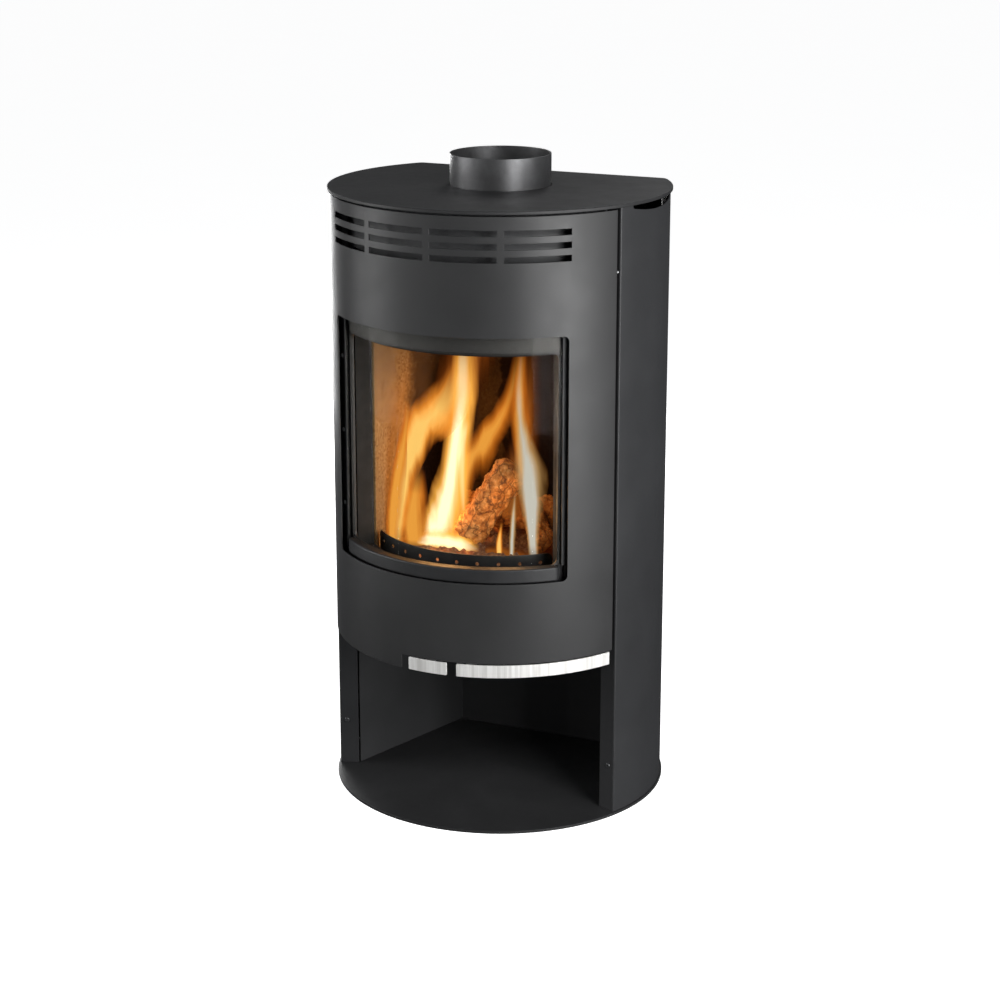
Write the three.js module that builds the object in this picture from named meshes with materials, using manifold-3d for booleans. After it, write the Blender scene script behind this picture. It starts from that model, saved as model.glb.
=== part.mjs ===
// Wood burning stove: a round-fronted steel stove on an open wood store, with a tall curved door, a curved
// glass, a lined firebox with grate and ash pan, and a 150 mm flue spigot on top.
// Millimetres, +Z up. The origin is the centre of the casing circle on the floor; the door faces -Y.
// Angles round the casing are in degrees from the front (-Y), positive towards +X, the viewer's right.

import * as THREE from 'three';
import { mergeVertices } from 'three/addons/utils/BufferGeometryUtils.js';
import Module from 'manifold-3d';

const wasm = await Module();
wasm.setup();

// ---- Driving dimensions -------------------------------------------------------------------------------------

const GAP = 0.3;                  // left between pieces that touch
const CASING_RADIUS = 251;        // outer face of the door and the side panels
const SHEET = 2;                  // casing sheet thickness
const CASING_TOP = 917;           // underside of the top plate
const TOP_PLATE_THICKNESS = 5;
const TOP_PLATE_RADIUS = 254.5;
const BASE_PLATE_THICKNESS = 4;
const BASE_PLATE_RADIUS = 253.8;
const REAR_FACE = 151.7;          // outer face of the rear panel, +Y
const PLATE_CORNER = 12;          // rounding of the plates' two rear corners

const DOOR_EDGE = 65.4;           // half angle of the door
const SIDE_EDGE = 66.5;           // angle where the side panels start
const DOOR_TOP = 914;
const DOOR_FLANGE = { inner: 233, low: 263.6 };   // returned edges behind the door sheet
const DOOR_LOW_EDGE = 242.3;      // bottom of the door left of the notch
const DOOR_NOTCH_EDGE = 263.5;    // bottom of the door above the two steel strips
const NOTCH_START = -10.7;
const WINDOW = { angle: 46.85, low: 384, high: 743, corner: 8 };
const SLOT = { span: 47.5, web: 2.2, columns: 4, rows: 3, height: 8.8, pitch: 18.4, top: 895 };

const STRIP = { low: 242.5, high: 261.5, thickness: 2.5 };
const AIR_LEVER = { start: -7.9, end: 6.2 };
const HANDLE = { start: 9.5, end: 63.9 };

const FLUE_RADIUS = 75;           // outside of the spigot
const FLUE_WALL = 2;
const FLUE_TOP = 968;
const FLUE_Y = 2;

const STORE_FRONT = { x: 203.5, y: -85 };   // front edge of the wood store's inner walls
const STORE_REAR = { x: 134, y: 146 };      // their rear edge
const CARRIER = { low: 263, high: 266 };    // plate between wood store and firebox

const BODY_FRONT = { inner: 222, outer: 225, angle: 66.2, top: 912 };
const THROAT = { inner: 200, angle: 46.7, low: 388, high: 712, thickness: 3 };

const WARM_AIR_WAY = { low: 808, high: 842 };

const WALL_FRONT = { x: 170, y: -138 };     // inner face of the firebox side walls, front edge
const WALL_REAR = { x: 150, y: 108 };       // and rear edge
const WALL = 3;
const FIREBOX_FLOOR = 348;                  // underside of the floor plate
const FIREBOX_ROOF = 800;                   // underside of the roof plate
const BRICK = 25;
const LINING_TOP = 377;                     // burning level
const BRICK_TOP = 738;
const GRATE = { halfX: 80, front: -95, rear: 25, rim: 7, bars: 7 };
const GUARD = { inner: 188, outer: 190, angle: 48, top: 408, holes: 10, holeRadius: 2.6, holeZ: 395 };

const DOOR_FRAME = { inner: 229, outer: 232, low: 368, high: 760 };
const FRAME_RING = { outer: 233.2, angle: 52, low: 376, high: 755 };
const FRAME_OPENING = { angle: 44.8, low: 404, high: 716, corner: 10 };
const LEDGE = { outer: 244, angle: 45.2, low: 383, high: 404 };
const GLASS = { inner: 235, outer: 239, angle: 46.6, low: 404.4, high: 750 };
const CLAMP = { lipStart: 45.6, footStart: 47, end: 51.5, outer: 241.5, low: 386, high: 752 };
const CLAMP_SCREW = { angle: 48.6, heights: [454.5, 567, 679.5] };

const HINGE = { radius: 243, angle: -62.5, pin: 4, heights: [300, 880] };
const HANDLE_PIVOT = { radius: 238, angle: 14, pin: 3 };
const ROLLER = { radius: 236, angle: 61, size: 4 };
const CATCH_BALL = { radius: 247.5, z: 825, size: 1.8 };

const ASH_PAN = { halfX: 125, front: -168, rear: 30, low: 266.6, high: 330, wall: 1.5 };
const ASH_OPENING = { angle: 36, high: 340 };

const AIR_PORTS = [-8.2, -2, 4.2];          // start angles of the primary air ports
const AIR_PORT = { width: 3, inner: 190, outer: 208 };
const GUIDE = { radius: 178, angle: 12.5, pin: 2.5, swing: 4.5 };
const DAMPER = { inner: 168, outer: 216, angle: 19, low: 259.6, high: 262.4 };

const FLANGE_SCREW = { radius: 240, z: 76 };
const REAR_SCREW = { x: 189, heights: [60, 460, 860] };

// ---- Finishes ----------------------------------------------------------------------------------------------

const FINISH = {
  stovePaint: { color: 0x45474a, roughness: 0.5, metalness: 0.35 },
  bodyPaint: { color: 0x35373a, roughness: 0.6, metalness: 0.35 },
  flueSteel: { color: 0x57595c, roughness: 0.45, metalness: 0.6 },
  stainless: { color: 0xd5d7da, roughness: 0.25, metalness: 1.0 },
  castIron: { color: 0x3a3b3d, roughness: 0.7, metalness: 0.5 },
  glass: { color: 0xdfe6e8, roughness: 0.05, metalness: 0.0 },
  rope: { color: 0x4b4a47, roughness: 0.95, metalness: 0.0 },
  vermiculite: { color: 0xc9b084, roughness: 0.95, metalness: 0.0 },
  zinc: { color: 0x9ea2a6, roughness: 0.4, metalness: 0.9 },
};

// ---- Solids ------------------------------------------------------------------------------------------------

const RAD = Math.PI / 180;

function polar(radius, degrees) {
  return [radius * Math.sin(degrees * RAD), -radius * Math.cos(degrees * RAD)];
}

function solidOf(geometry) {
  const bare = geometry.clone();
  bare.deleteAttribute('normal');
  bare.deleteAttribute('uv');
  const merged = mergeVertices(bare, 1e-4);
  return new wasm.Manifold(new wasm.Mesh({
    numProp: 3,
    vertProperties: Float32Array.from(merged.attributes.position.array),
    triVerts: Uint32Array.from(merged.index.array),
  }));
}

// An upright prism over a closed outline of [x, y] points.
function prism(outline, low, high) {
  const shape = new THREE.Shape(outline.map(([x, y]) => new THREE.Vector2(x, y)));
  const geometry = new THREE.ExtrudeGeometry(shape, { depth: high - low, bevelEnabled: false });
  return solidOf(geometry.translate(0, 0, low));
}

function arc(radius, from, to, step = 5) {
  const count = Math.max(1, Math.ceil(Math.abs(to - from) / step));
  return Array.from({ length: count + 1 }, (_, i) => polar(radius, from + (to - from) * i / count));
}

// A piece of curved sheet: the space between two radii, two angles and two heights.
function curvedSheet(inner, outer, from, to, low, high, step = 5) {
  return prism([...arc(outer, from, to, step), ...arc(inner, to, from, step)], low, high);
}

function box(x0, x1, y0, y1, z0, z1) {
  const geometry = new THREE.BoxGeometry(x1 - x0, y1 - y0, z1 - z0);
  return solidOf(geometry.translate((x0 + x1) / 2, (y0 + y1) / 2, (z0 + z1) / 2));
}

function cylinder(radius, low, high, x, y, segments = 24) {
  const geometry = new THREE.CylinderGeometry(radius, radius, high - low, segments);
  return solidOf(geometry.rotateX(Math.PI / 2).translate(x, y, (low + high) / 2));
}

// A round bar along the casing's radius at one angle and height.
function radialBar(radius, from, to, degrees, z, segments = 16) {
  const geometry = new THREE.CylinderGeometry(radius, radius, to - from, segments);
  geometry.translate(0, -(from + to) / 2, 0);
  return solidOf(geometry.rotateZ(degrees * RAD).translate(0, 0, z));
}

// A solid of revolution about an upright axis, from a closed profile of [radius, z] points, anticlockwise.
function revolved(profile, x, y, segments = 24) {
  const points = [...profile, profile[0]].map(([r, z]) => new THREE.Vector2(r, z));
  const geometry = new THREE.LatheGeometry(points, segments);
  return solidOf(geometry.rotateX(Math.PI / 2).translate(x, y, 0));
}

// A cutter for a round-cornered opening in curved sheet.
function curvedOpening(inner, outer, angle, low, high, corner) {
  const cornerAngle = corner / ((inner + outer) / 2) / RAD;
  let cutter = curvedSheet(inner, outer, -angle, angle, low + corner, high - corner);
  cutter = cutter.add(curvedSheet(inner, outer, -angle + cornerAngle, angle - cornerAngle, low, high));
  for (const side of [-1, 1]) {
    for (const z of [low + corner, high - corner]) {
      cutter = cutter.add(radialBar(corner, inner, outer, side * (angle - cornerAngle), z, 24));
    }
  }
  return cutter;
}

// The D outline shared by the base plate and the top plate: a round front, a straight rear, eased corners.
function plateOutline(radius, rear) {
  const reach = radius - PLATE_CORNER;
  const cornerY = rear - PLATE_CORNER;
  const cornerX = Math.sqrt(reach ** 2 - cornerY ** 2);
  const meet = Math.atan2(cornerX, -cornerY) / RAD;
  const corner = (side) => Array.from({ length: 6 }, (_, i) => {
    const turn = (meet - 180) * (1 - i / 5) + 180;
    const [dx, dy] = polar(PLATE_CORNER, turn);
    return [side * (cornerX + dx), cornerY + dy];
  });
  return [...arc(radius, -meet, meet), ...corner(1).slice(1), ...corner(-1).reverse().slice(0, -1)];
}

// Inner face of a firebox side wall at a given y.
function wallX(y) {
  const share = (y - WALL_FRONT.y) / (WALL_REAR.y - WALL_FRONT.y);
  return WALL_FRONT.x + share * (WALL_REAR.x - WALL_FRONT.x);
}

// The firebox's plan, grown or shrunk sideways: a round front between two slanting walls and a straight rear.
function fireboxOutline(frontRadius, grow, rear) {
  const frontAngle = Math.atan2(wallX(WALL_FRONT.y) + grow, -WALL_FRONT.y) / RAD;
  const limit = Math.min(frontAngle, Math.asin((WALL_FRONT.x + grow) / frontRadius) / RAD);
  return [...arc(frontRadius, -limit, limit), [wallX(rear) + grow, rear], [-wallX(rear) - grow, rear]];
}

function flip(points, side) {
  return points.map(([x, y]) => [side * x, y]);
}

// ---- Assembly ----------------------------------------------------------------------------------------------

const group = new THREE.Group();

function place(name, finish, solid) {
  const { vertProperties, triVerts } = solid.getMesh();
  const geometry = new THREE.BufferGeometry();
  geometry.setAttribute('position', new THREE.BufferAttribute(Float32Array.from(vertProperties), 3));
  geometry.setIndex(new THREE.BufferAttribute(Uint32Array.from(triVerts), 1));
  geometry.computeVertexNormals();
  const mesh = new THREE.Mesh(geometry, new THREE.MeshStandardMaterial(FINISH[finish]));
  mesh.name = name;
  group.add(mesh);
}

const SIDES = [['left', -1], ['right', 1]];

// ---- Casing ------------------------------------------------------------------------------------------------

function basePlate() {
  return prism(plateOutline(BASE_PLATE_RADIUS, REAR_FACE + 1.3), 0, BASE_PLATE_THICKNESS);
}

function topPlate() {
  const plate = prism(plateOutline(TOP_PLATE_RADIUS, REAR_FACE + 1.3), CASING_TOP,
    CASING_TOP + TOP_PLATE_THICKNESS);
  return plate.subtract(cylinder(FLUE_RADIUS + 0.8, CASING_TOP - 1, CASING_TOP + 10, 0, FLUE_Y, 64));
}

// Curved sheet with a radial flange at the front, a flat flange at the rear and the hot air outlet at the top.
function sidePanel(side) {
  const low = BASE_PLATE_THICKNESS + GAP;
  const high = CASING_TOP - GAP;
  const inner = CASING_RADIUS - SHEET;
  const rearAngle = 180 - Math.acos(REAR_FACE / CASING_RADIUS) / RAD;
  const flangeAngle = SHEET / inner / RAD;
  let panel = curvedSheet(inner, CASING_RADIUS, side * SIDE_EDGE, side * rearAngle, low, high);
  panel = panel.subtract(box(-300, 300, REAR_FACE, REAR_FACE + 20, 0, 1000));
  panel = panel.add(curvedSheet(BODY_FRONT.inner, inner + 1, side * SIDE_EDGE, side * (SIDE_EDGE + flangeAngle),
    low, high));
  const rearFlange = { inner: 178, outer: 199.5, y0: 147.2, y1: 149.4 };
  const flange = box(rearFlange.inner, rearFlange.outer, rearFlange.y0, rearFlange.y1, low, high);
  panel = panel.add(side > 0 ? flange : flange.mirror([1, 0, 0]));
  const outlet = { front: -75.5, rear: 73.4, low: CASING_TOP - 12.5, radius: 374 };
  const outletCutter = box(200, 260, outlet.front, outlet.rear, outlet.low - 5, CASING_TOP + 5).intersect(
    solidOf(new THREE.CylinderGeometry(outlet.radius, outlet.radius, 80, 128).rotateZ(Math.PI / 2)
      .translate(230, (outlet.front + outlet.rear) / 2, outlet.low + outlet.radius)));
  panel = panel.subtract(side > 0 ? outletCutter : outletCutter.mirror([1, 0, 0]));
  panel = panel.subtract(flangeHole(side));
  for (const z of REAR_SCREW.heights) {
    panel = panel.subtract(barY(2.6, REAR_FACE - 8, REAR_FACE + 5, side * REAR_SCREW.x, z));
  }
  return panel;
}

// A round bar along Y.
function barY(radius, front, rear, x, z, segments = 16) {
  const geometry = new THREE.CylinderGeometry(radius, radius, rear - front, segments);
  return solidOf(geometry.translate(x, (front + rear) / 2, z));
}

// A round bar square to a side panel's front flange, from one distance in front of it to another behind.
function flangeBar(radius, side, front, rear) {
  const geometry = new THREE.CylinderGeometry(radius, radius, rear - front, 16);
  geometry.rotateZ(Math.PI / 2).translate(side * (front + rear) / 2, -FLANGE_SCREW.radius, 0);
  return solidOf(geometry.rotateZ(side * SIDE_EDGE * RAD).translate(0, 0, FLANGE_SCREW.z));
}

function flangeHole(side) {
  return flangeBar(2.6, side, -5, 5);
}

function flangeScrew(side) {
  return flangeBar(4, side, -2.3, -GAP).add(flangeBar(2.2, side, -1, 6));
}

function rearScrew(side, z) {
  const x = side * REAR_SCREW.x;
  return barY(4.5, REAR_FACE + GAP, REAR_FACE + 1.3, x, z).add(barY(2.2, REAR_FACE - 9, REAR_FACE + 1, x, z));
}

// Flat rear sheet with rows of air inlets at firebox level.
function rearPanel() {
  let panel = box(-197, 197, REAR_FACE - SHEET, REAR_FACE, BASE_PLATE_THICKNESS + GAP, CASING_TOP - GAP);
  for (let row = 0; row < 4; row += 1) {
    for (let column = 0; column < 3; column += 1) {
      const x = (column - 1) * 100;
      const z = 290 + row * 18;
      panel = panel.subtract(box(x - 45, x + 45, REAR_FACE - 8, REAR_FACE + 8, z, z + 9));
    }
  }
  for (const side of [-1, 1]) {
    for (const z of REAR_SCREW.heights) {
      panel = panel.subtract(barY(2.6, REAR_FACE - 8, REAR_FACE + 5, side * REAR_SCREW.x, z));
    }
  }
  return panel;
}

// One folded sheet: two slanting side walls and the rear wall of the wood store.
function woodStoreLiner() {
  const sheet = 1.5;
  const outline = [
    [STORE_FRONT.x, STORE_FRONT.y], [STORE_REAR.x, STORE_REAR.y],
    [-STORE_REAR.x, STORE_REAR.y], [-STORE_FRONT.x, STORE_FRONT.y],
    [-STORE_FRONT.x + sheet, STORE_FRONT.y], [-STORE_REAR.x + sheet, STORE_REAR.y - sheet],
    [STORE_REAR.x - sheet, STORE_REAR.y - sheet], [STORE_FRONT.x - sheet, STORE_FRONT.y],
  ];
  return prism(outline, BASE_PLATE_THICKNESS + GAP, CARRIER.low - GAP);
}

function carrierPlate() {
  const outline = [...arc(226, -65, 65), polar(220, 65.5), [136, 148.5], [-136, 148.5], polar(220, -65.5)];
  let plate = prism(outline, CARRIER.low, CARRIER.high);
  for (const start of AIR_PORTS) {
    plate = plate.subtract(curvedSheet(AIR_PORT.inner, AIR_PORT.outer, start, start + AIR_PORT.width,
      250, 280));
  }
  for (const angle of [-GUIDE.angle, GUIDE.angle]) {
    plate = plate.subtract(cylinder(GUIDE.pin + GAP, 250, 280, ...polar(GUIDE.radius, angle), 16));
  }
  return plate;
}

// ---- Firebox -----------------------------------------------------------------------------------------------

// Curved front of the stove body, with the firebox throat, the ash opening and the warm air outlet.
function bodyFront() {
  const { inner, outer, angle, top } = BODY_FRONT;
  let front = curvedSheet(inner, outer, -angle, angle, CARRIER.high + GAP, top);
  const t = THROAT.thickness;
  const edge = t / inner / RAD;
  front = front.add(curvedSheet(THROAT.inner, inner + 1, -THROAT.angle - edge, THROAT.angle + edge,
    THROAT.low - t, THROAT.high + t));
  front = front.subtract(curvedSheet(THROAT.inner - 5, outer + 5, -THROAT.angle, THROAT.angle,
    THROAT.low, THROAT.high));
  front = front.subtract(curvedSheet(inner - 5, outer + 5, -ASH_OPENING.angle, ASH_OPENING.angle,
    CARRIER.high - 5, ASH_OPENING.high));
  return front.subtract(curvedSheet(inner - 5, outer + 5, -SLOT.span, SLOT.span,
    WARM_AIR_WAY.low, WARM_AIR_WAY.high));
}

function fireboxSideWall(side) {
  const y0 = WALL_FRONT.y;
  const y1 = WALL_REAR.y + WALL;
  const outline = [[wallX(y0), y0], [wallX(y0) + WALL, y0], [wallX(y1) + WALL, y1], [wallX(y1), y1]];
  return prism(flip(outline, side), FIREBOX_FLOOR + WALL + GAP, FIREBOX_ROOF - GAP);
}

function fireboxRearWall() {
  const half = wallX(WALL_REAR.y + WALL) - GAP;
  return box(-half, half, WALL_REAR.y, WALL_REAR.y + WALL, FIREBOX_FLOOR + WALL + GAP, FIREBOX_ROOF - GAP);
}

function fireboxPlate(low) {
  return prism(fireboxOutline(BODY_FRONT.inner - GAP, WALL, WALL_REAR.y + WALL), low, low + WALL);
}

function fireboxFloor() {
  const hole = box(-GRATE.halfX + 10, GRATE.halfX - 10, GRATE.front + 10, GRATE.rear - 10, 300, 400);
  return fireboxPlate(FIREBOX_FLOOR).subtract(hole);
}

function fireboxRoof() {
  const hole = cylinder(FLUE_RADIUS - FLUE_WALL, 700, 900, 0, FLUE_Y, 48);
  return fireboxPlate(FIREBOX_ROOF).subtract(hole);
}

function sideBrick(side) {
  const y0 = -133;
  const y1 = WALL_REAR.y - 0.5;
  const outline = [[wallX(y0) - 0.5, y0], [wallX(y1) - 0.5, y1],
    [wallX(y1) - 0.5 - BRICK, y1], [wallX(y0) - 0.5 - BRICK, y0]];
  return prism(flip(outline, side), FIREBOX_FLOOR + WALL + GAP, BRICK_TOP);
}

function rearBrick() {
  const y1 = WALL_REAR.y - 0.5;
  const half = wallX(y1) - 0.5 - BRICK - 0.4;
  return box(-half, half, y1 - BRICK, y1, FIREBOX_FLOOR + WALL + GAP, BRICK_TOP);
}

// Floor lining between the side bricks, cut round the grate.
function floorBrick() {
  const rear = WALL_REAR.y - 0.5 - BRICK - 0.4;
  const grow = -0.5 - BRICK - 0.4;
  const outline = fireboxOutline(198, grow, rear);
  const hole = box(-GRATE.halfX - 1, GRATE.halfX + 1, GRATE.front - 1, GRATE.rear + 1, 300, 400);
  return prism(outline, FIREBOX_FLOOR + WALL + GAP, LINING_TOP).subtract(hole);
}

function bafflePlate() {
  const half = wallX(-60) - 6;
  return box(-half + 8, half - 8, -60, WALL_REAR.y - 1, BRICK_TOP + GAP, BRICK_TOP + GAP + BRICK);
}

// Cast frame with cross bars; ash falls between the bars.
function grate() {
  const { halfX, front, rear, rim, bars } = GRATE;
  let casting = box(-halfX, halfX, front, rear, FIREBOX_FLOOR + WALL + GAP, LINING_TOP);
  casting = casting.subtract(box(-halfX + rim, halfX - rim, front + rim, rear - rim, 300, 364));
  const pitch = (2 * halfX - 2 * rim) / (bars + 1);
  for (let i = 0; i <= bars; i += 1) {
    const x = -halfX + rim + i * pitch;
    casting = casting.subtract(box(x + 4.5, x + pitch - 4.5, front + rim + 2, rear - rim - 2, 300, 400));
  }
  return casting;
}

function ashPan() {
  const { halfX, front, rear, low, high, wall } = ASH_PAN;
  const pan = box(-halfX, halfX, front, rear, low, high).subtract(
    box(-halfX + wall, halfX - wall, front + wall, rear - wall, low + wall, high + 10));
  return pan.add(box(-40, 40, front - 10, front + 1, high - wall, high));
}

// Curved plate that keeps the fuel behind the throat, with a row of air holes.
function logGuard() {
  const { inner, outer, angle, top, holes, holeRadius, holeZ } = GUARD;
  let guard = curvedSheet(inner, outer, -angle, angle, LINING_TOP + GAP, top, 3);
  const spread = 42.3;
  for (let i = 0; i < holes; i += 1) {
    const degrees = -spread + 2 * spread * i / (holes - 1);
    guard = guard.subtract(radialBar(holeRadius, inner - 5, outer + 5, degrees, holeZ, 12));
  }
  return guard;
}

// Flue spigot with a foot flange that sits on the firebox roof.
function flueCollar() {
  const inner = FLUE_RADIUS - FLUE_WALL;
  const foot = FIREBOX_ROOF + WALL + GAP;
  return revolved([[inner, foot], [FLUE_RADIUS + 14, foot], [FLUE_RADIUS + 14, foot + 3],
    [FLUE_RADIUS, foot + 3], [FLUE_RADIUS, FLUE_TOP], [inner, FLUE_TOP]], 0, FLUE_Y, 72);
}

function rearHeatShield() {
  return box(-155, 155, 127, 128.5, CARRIER.high + GAP, 880);
}

// ---- Air control -------------------------------------------------------------------------------------------

// The short steel strip in the notch, with the arm that reaches in under the carrier plate.
function airLever() {
  const outer = CASING_RADIUS;
  const inner = outer - STRIP.thickness;
  const strip = curvedSheet(inner, outer, AIR_LEVER.start, AIR_LEVER.end, STRIP.low, STRIP.high, 3);
  return strip.add(curvedSheet(205, inner + 0.5, -2.4, 0.7, 256, 259));
}

// Sliding plate whose ports cover and uncover those of the carrier plate.
function airDamper() {
  const { inner, outer, angle, low, high } = DAMPER;
  let damper = curvedSheet(inner, outer, -angle, angle, low, high, 3);
  for (const start of AIR_PORTS) {
    damper = damper.subtract(curvedSheet(AIR_PORT.inner, AIR_PORT.outer, start + 1.5,
      start + 1.5 + AIR_PORT.width, 250, 280));
  }
  for (const side of [-1, 1]) {
    damper = damper.subtract(curvedSheet(GUIDE.radius - GUIDE.pin - 0.6, GUIDE.radius + GUIDE.pin + 0.6,
      side * GUIDE.angle - GUIDE.swing, side * GUIDE.angle + GUIDE.swing, 250, 280, 1.5));
  }
  return damper;
}

function airGuidePin(side) {
  const [x, y] = polar(GUIDE.radius, side * GUIDE.angle);
  const { pin } = GUIDE;
  return revolved([[0, 256.4], [5, 256.4], [5, 258.9], [pin, 258.9], [pin, 265.5], [0, 265.5]], x, y, 16);
}

// ---- Door --------------------------------------------------------------------------------------------------

// Outer sheet of the door: window, warm air slots, notch over the steel strips and returned edges.
function doorSkin() {
  const outer = CASING_RADIUS;
  const inner = outer - SHEET;
  const edge = SHEET / inner / RAD;
  let skin = curvedSheet(inner, outer, -DOOR_EDGE, DOOR_EDGE, DOOR_LOW_EDGE, DOOR_TOP);
  skin = skin.subtract(curvedSheet(inner - 5, outer + 5, NOTCH_START, DOOR_EDGE + 2, 200, DOOR_NOTCH_EDGE));
  skin = skin.subtract(curvedOpening(inner - 5, outer + 5, WINDOW.angle, WINDOW.low, WINDOW.high,
    WINDOW.corner));
  const width = (2 * SLOT.span - (SLOT.columns - 1) * SLOT.web) / SLOT.columns;
  for (let row = 0; row < SLOT.rows; row += 1) {
    const high = SLOT.top - row * SLOT.pitch;
    for (let column = 0; column < SLOT.columns; column += 1) {
      const start = -SLOT.span + column * (width + SLOT.web);
      skin = skin.subtract(curvedSheet(inner - 5, outer + 5, start, start + width, high - SLOT.height, high));
    }
  }
  for (const side of [-1, 1]) {
    skin = skin.add(curvedSheet(DOOR_FLANGE.inner, inner + 1, side * (DOOR_EDGE - edge), side * DOOR_EDGE,
      DOOR_FLANGE.low, DOOR_TOP - 1));
  }
  skin = skin.add(curvedSheet(DOOR_FLANGE.inner, inner + 1, -DOOR_EDGE + edge / 2, DOOR_EDGE - edge / 2,
    DOOR_FLANGE.low, DOOR_FLANGE.low + SHEET));
  for (const z of HINGE.heights) {
    skin = skin.subtract(curvedSheet(DOOR_FLANGE.inner - 5, inner - 0.1, -DOOR_EDGE - 1,
      -DOOR_EDGE + edge + 0.5, z - 5, z + 4.3));
  }
  return skin;
}

// Inner frame that carries the glass: a curved plate, a raised seat round the opening and the ledge under it.
function doorFrame() {
  const side = DOOR_EDGE - SHEET / (CASING_RADIUS - SHEET) / RAD - 0.08;
  let frame = curvedSheet(DOOR_FRAME.inner, DOOR_FRAME.outer, -side, side, DOOR_FRAME.low, DOOR_FRAME.high);
  frame = frame.add(curvedSheet(DOOR_FRAME.outer - 1, FRAME_RING.outer, -FRAME_RING.angle, FRAME_RING.angle,
    FRAME_RING.low, FRAME_RING.high));
  frame = frame.subtract(curvedOpening(DOOR_FRAME.inner - 5, FRAME_RING.outer + 5, FRAME_OPENING.angle,
    FRAME_OPENING.low, FRAME_OPENING.high, FRAME_OPENING.corner));
  frame = frame.add(curvedSheet(DOOR_FRAME.outer - 1, LEDGE.outer, -LEDGE.angle, LEDGE.angle,
    LEDGE.low, LEDGE.high, 3));
  for (const direction of [-1, 1]) {
    for (const z of CLAMP_SCREW.heights) {
      frame = frame.subtract(radialBar(2.1, 226, 236, direction * CLAMP_SCREW.angle, z, 12));
    }
  }
  return frame;
}

function doorGlass() {
  return curvedSheet(GLASS.inner, GLASS.outer, -GLASS.angle, GLASS.angle, GLASS.low, GLASS.high, 3);
}

// Flat tape behind the glass, along both sides and the top.
function glassTape() {
  const inner = FRAME_RING.outer + GAP;
  const outer = GLASS.inner - GAP;
  const tape = curvedSheet(inner, outer, -GLASS.angle, GLASS.angle, GLASS.low, GLASS.high, 3);
  return tape.subtract(curvedSheet(inner - 5, outer + 5, -GLASS.angle + 1.5, GLASS.angle - 1.5, 0,
    FRAME_OPENING.high + 3));
}

function glassClamp(side) {
  const foot = curvedSheet(FRAME_RING.outer + GAP, CLAMP.outer, side * CLAMP.footStart, side * CLAMP.end,
    CLAMP.low, CLAMP.high);
  const lip = curvedSheet(GLASS.outer + GAP, CLAMP.outer, side * CLAMP.lipStart, side * (CLAMP.footStart + 0.5),
    CLAMP.low + 18.6, CLAMP.high);
  let clamp = foot.add(lip);
  for (const z of CLAMP_SCREW.heights) {
    clamp = clamp.subtract(radialBar(2.1, 230, 245, side * CLAMP_SCREW.angle, z, 12));
  }
  return clamp;
}

function clampScrew(side, z) {
  const angle = side * CLAMP_SCREW.angle;
  const head = radialBar(3.6, CLAMP.outer + GAP, CLAMP.outer + 2.1, angle, z, 16);
  return head.add(radialBar(1.8, DOOR_FRAME.inner + 1, CLAMP.outer + 1, angle, z, 12));
}

// Rope seal between the door frame and the body front, right round the throat.
function doorSeal() {
  const inner = BODY_FRONT.outer + GAP;
  const outer = DOOR_FRAME.inner - GAP;
  const seal = curvedSheet(inner, outer, -50.5, 50.5, 376, 724);
  return seal.subtract(curvedSheet(inner - 5, outer + 5, -48.3, 48.3, 385, 715));
}

// ---- Hinges ------------------------------------------------------------------------------------------------

const HINGE_AT = polar(HINGE.radius, HINGE.angle);

// Plate on the body front that holds a hinge pin.
function hingeBracket(z) {
  const knuckle = 5.5;
  const [x, y] = HINGE_AT;
  const reach = polar(BODY_FRONT.outer + GAP, -56.5);
  const root = polar(BODY_FRONT.outer + GAP, -61);
  const arm = prism([[x + 1, y - knuckle], [x - 1, y + knuckle], root, reach], z, z + 4);
  return arm.add(cylinder(knuckle, z, z + 4, x, y)).subtract(cylinder(HINGE.pin + GAP, z - 1, z + 5, x, y))
    .subtract(curvedSheet(200, BODY_FRONT.outer + GAP, -70, -40, z - 1, z + 5));
}

// Plate inside the door skin that turns on the pin.
function hingeLug(z) {
  const lug = curvedSheet(235, CASING_RADIUS - SHEET - GAP, -64.6, -56, z + 4.6, z + 8.6);
  return lug.subtract(cylinder(HINGE.pin + GAP, z, z + 10, ...HINGE_AT));
}

function hingePin(z) {
  const { pin } = HINGE;
  const [x, y] = HINGE_AT;
  return revolved([[0, z - 3], [pin, z - 3], [pin, z + 9], [pin + 1.2, z + 9], [pin + 1.2, z + 11],
    [0, z + 11]], x, y, 20);
}

// ---- Handle and catch --------------------------------------------------------------------------------------

// The long steel strip under the door, with the lug that turns on the pivot pin.
function doorHandle() {
  const outer = CASING_RADIUS;
  const inner = outer - STRIP.thickness;
  const strip = curvedSheet(inner, outer, HANDLE.start, HANDLE.end, STRIP.low, STRIP.high, 3);
  const lug = curvedSheet(HANDLE_PIVOT.radius - 7, inner + 0.5, 11.9, 16.1, 254, 257);
  const pivot = polar(HANDLE_PIVOT.radius, HANDLE_PIVOT.angle);
  const hole = cylinder(HANDLE_PIVOT.pin + GAP, 250, 260, ...pivot, 20);
  return strip.add(lug.subtract(hole));
}

function handlePivotPin() {
  const [x, y] = polar(HANDLE_PIVOT.radius, HANDLE_PIVOT.angle);
  const { pin } = HANDLE_PIVOT;
  return revolved([[0, 251], [pin + 1.5, 251], [pin + 1.5, 253.6], [pin, 253.6], [pin, 263.3], [0, 263.3]],
    x, y, 20);
}

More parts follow.
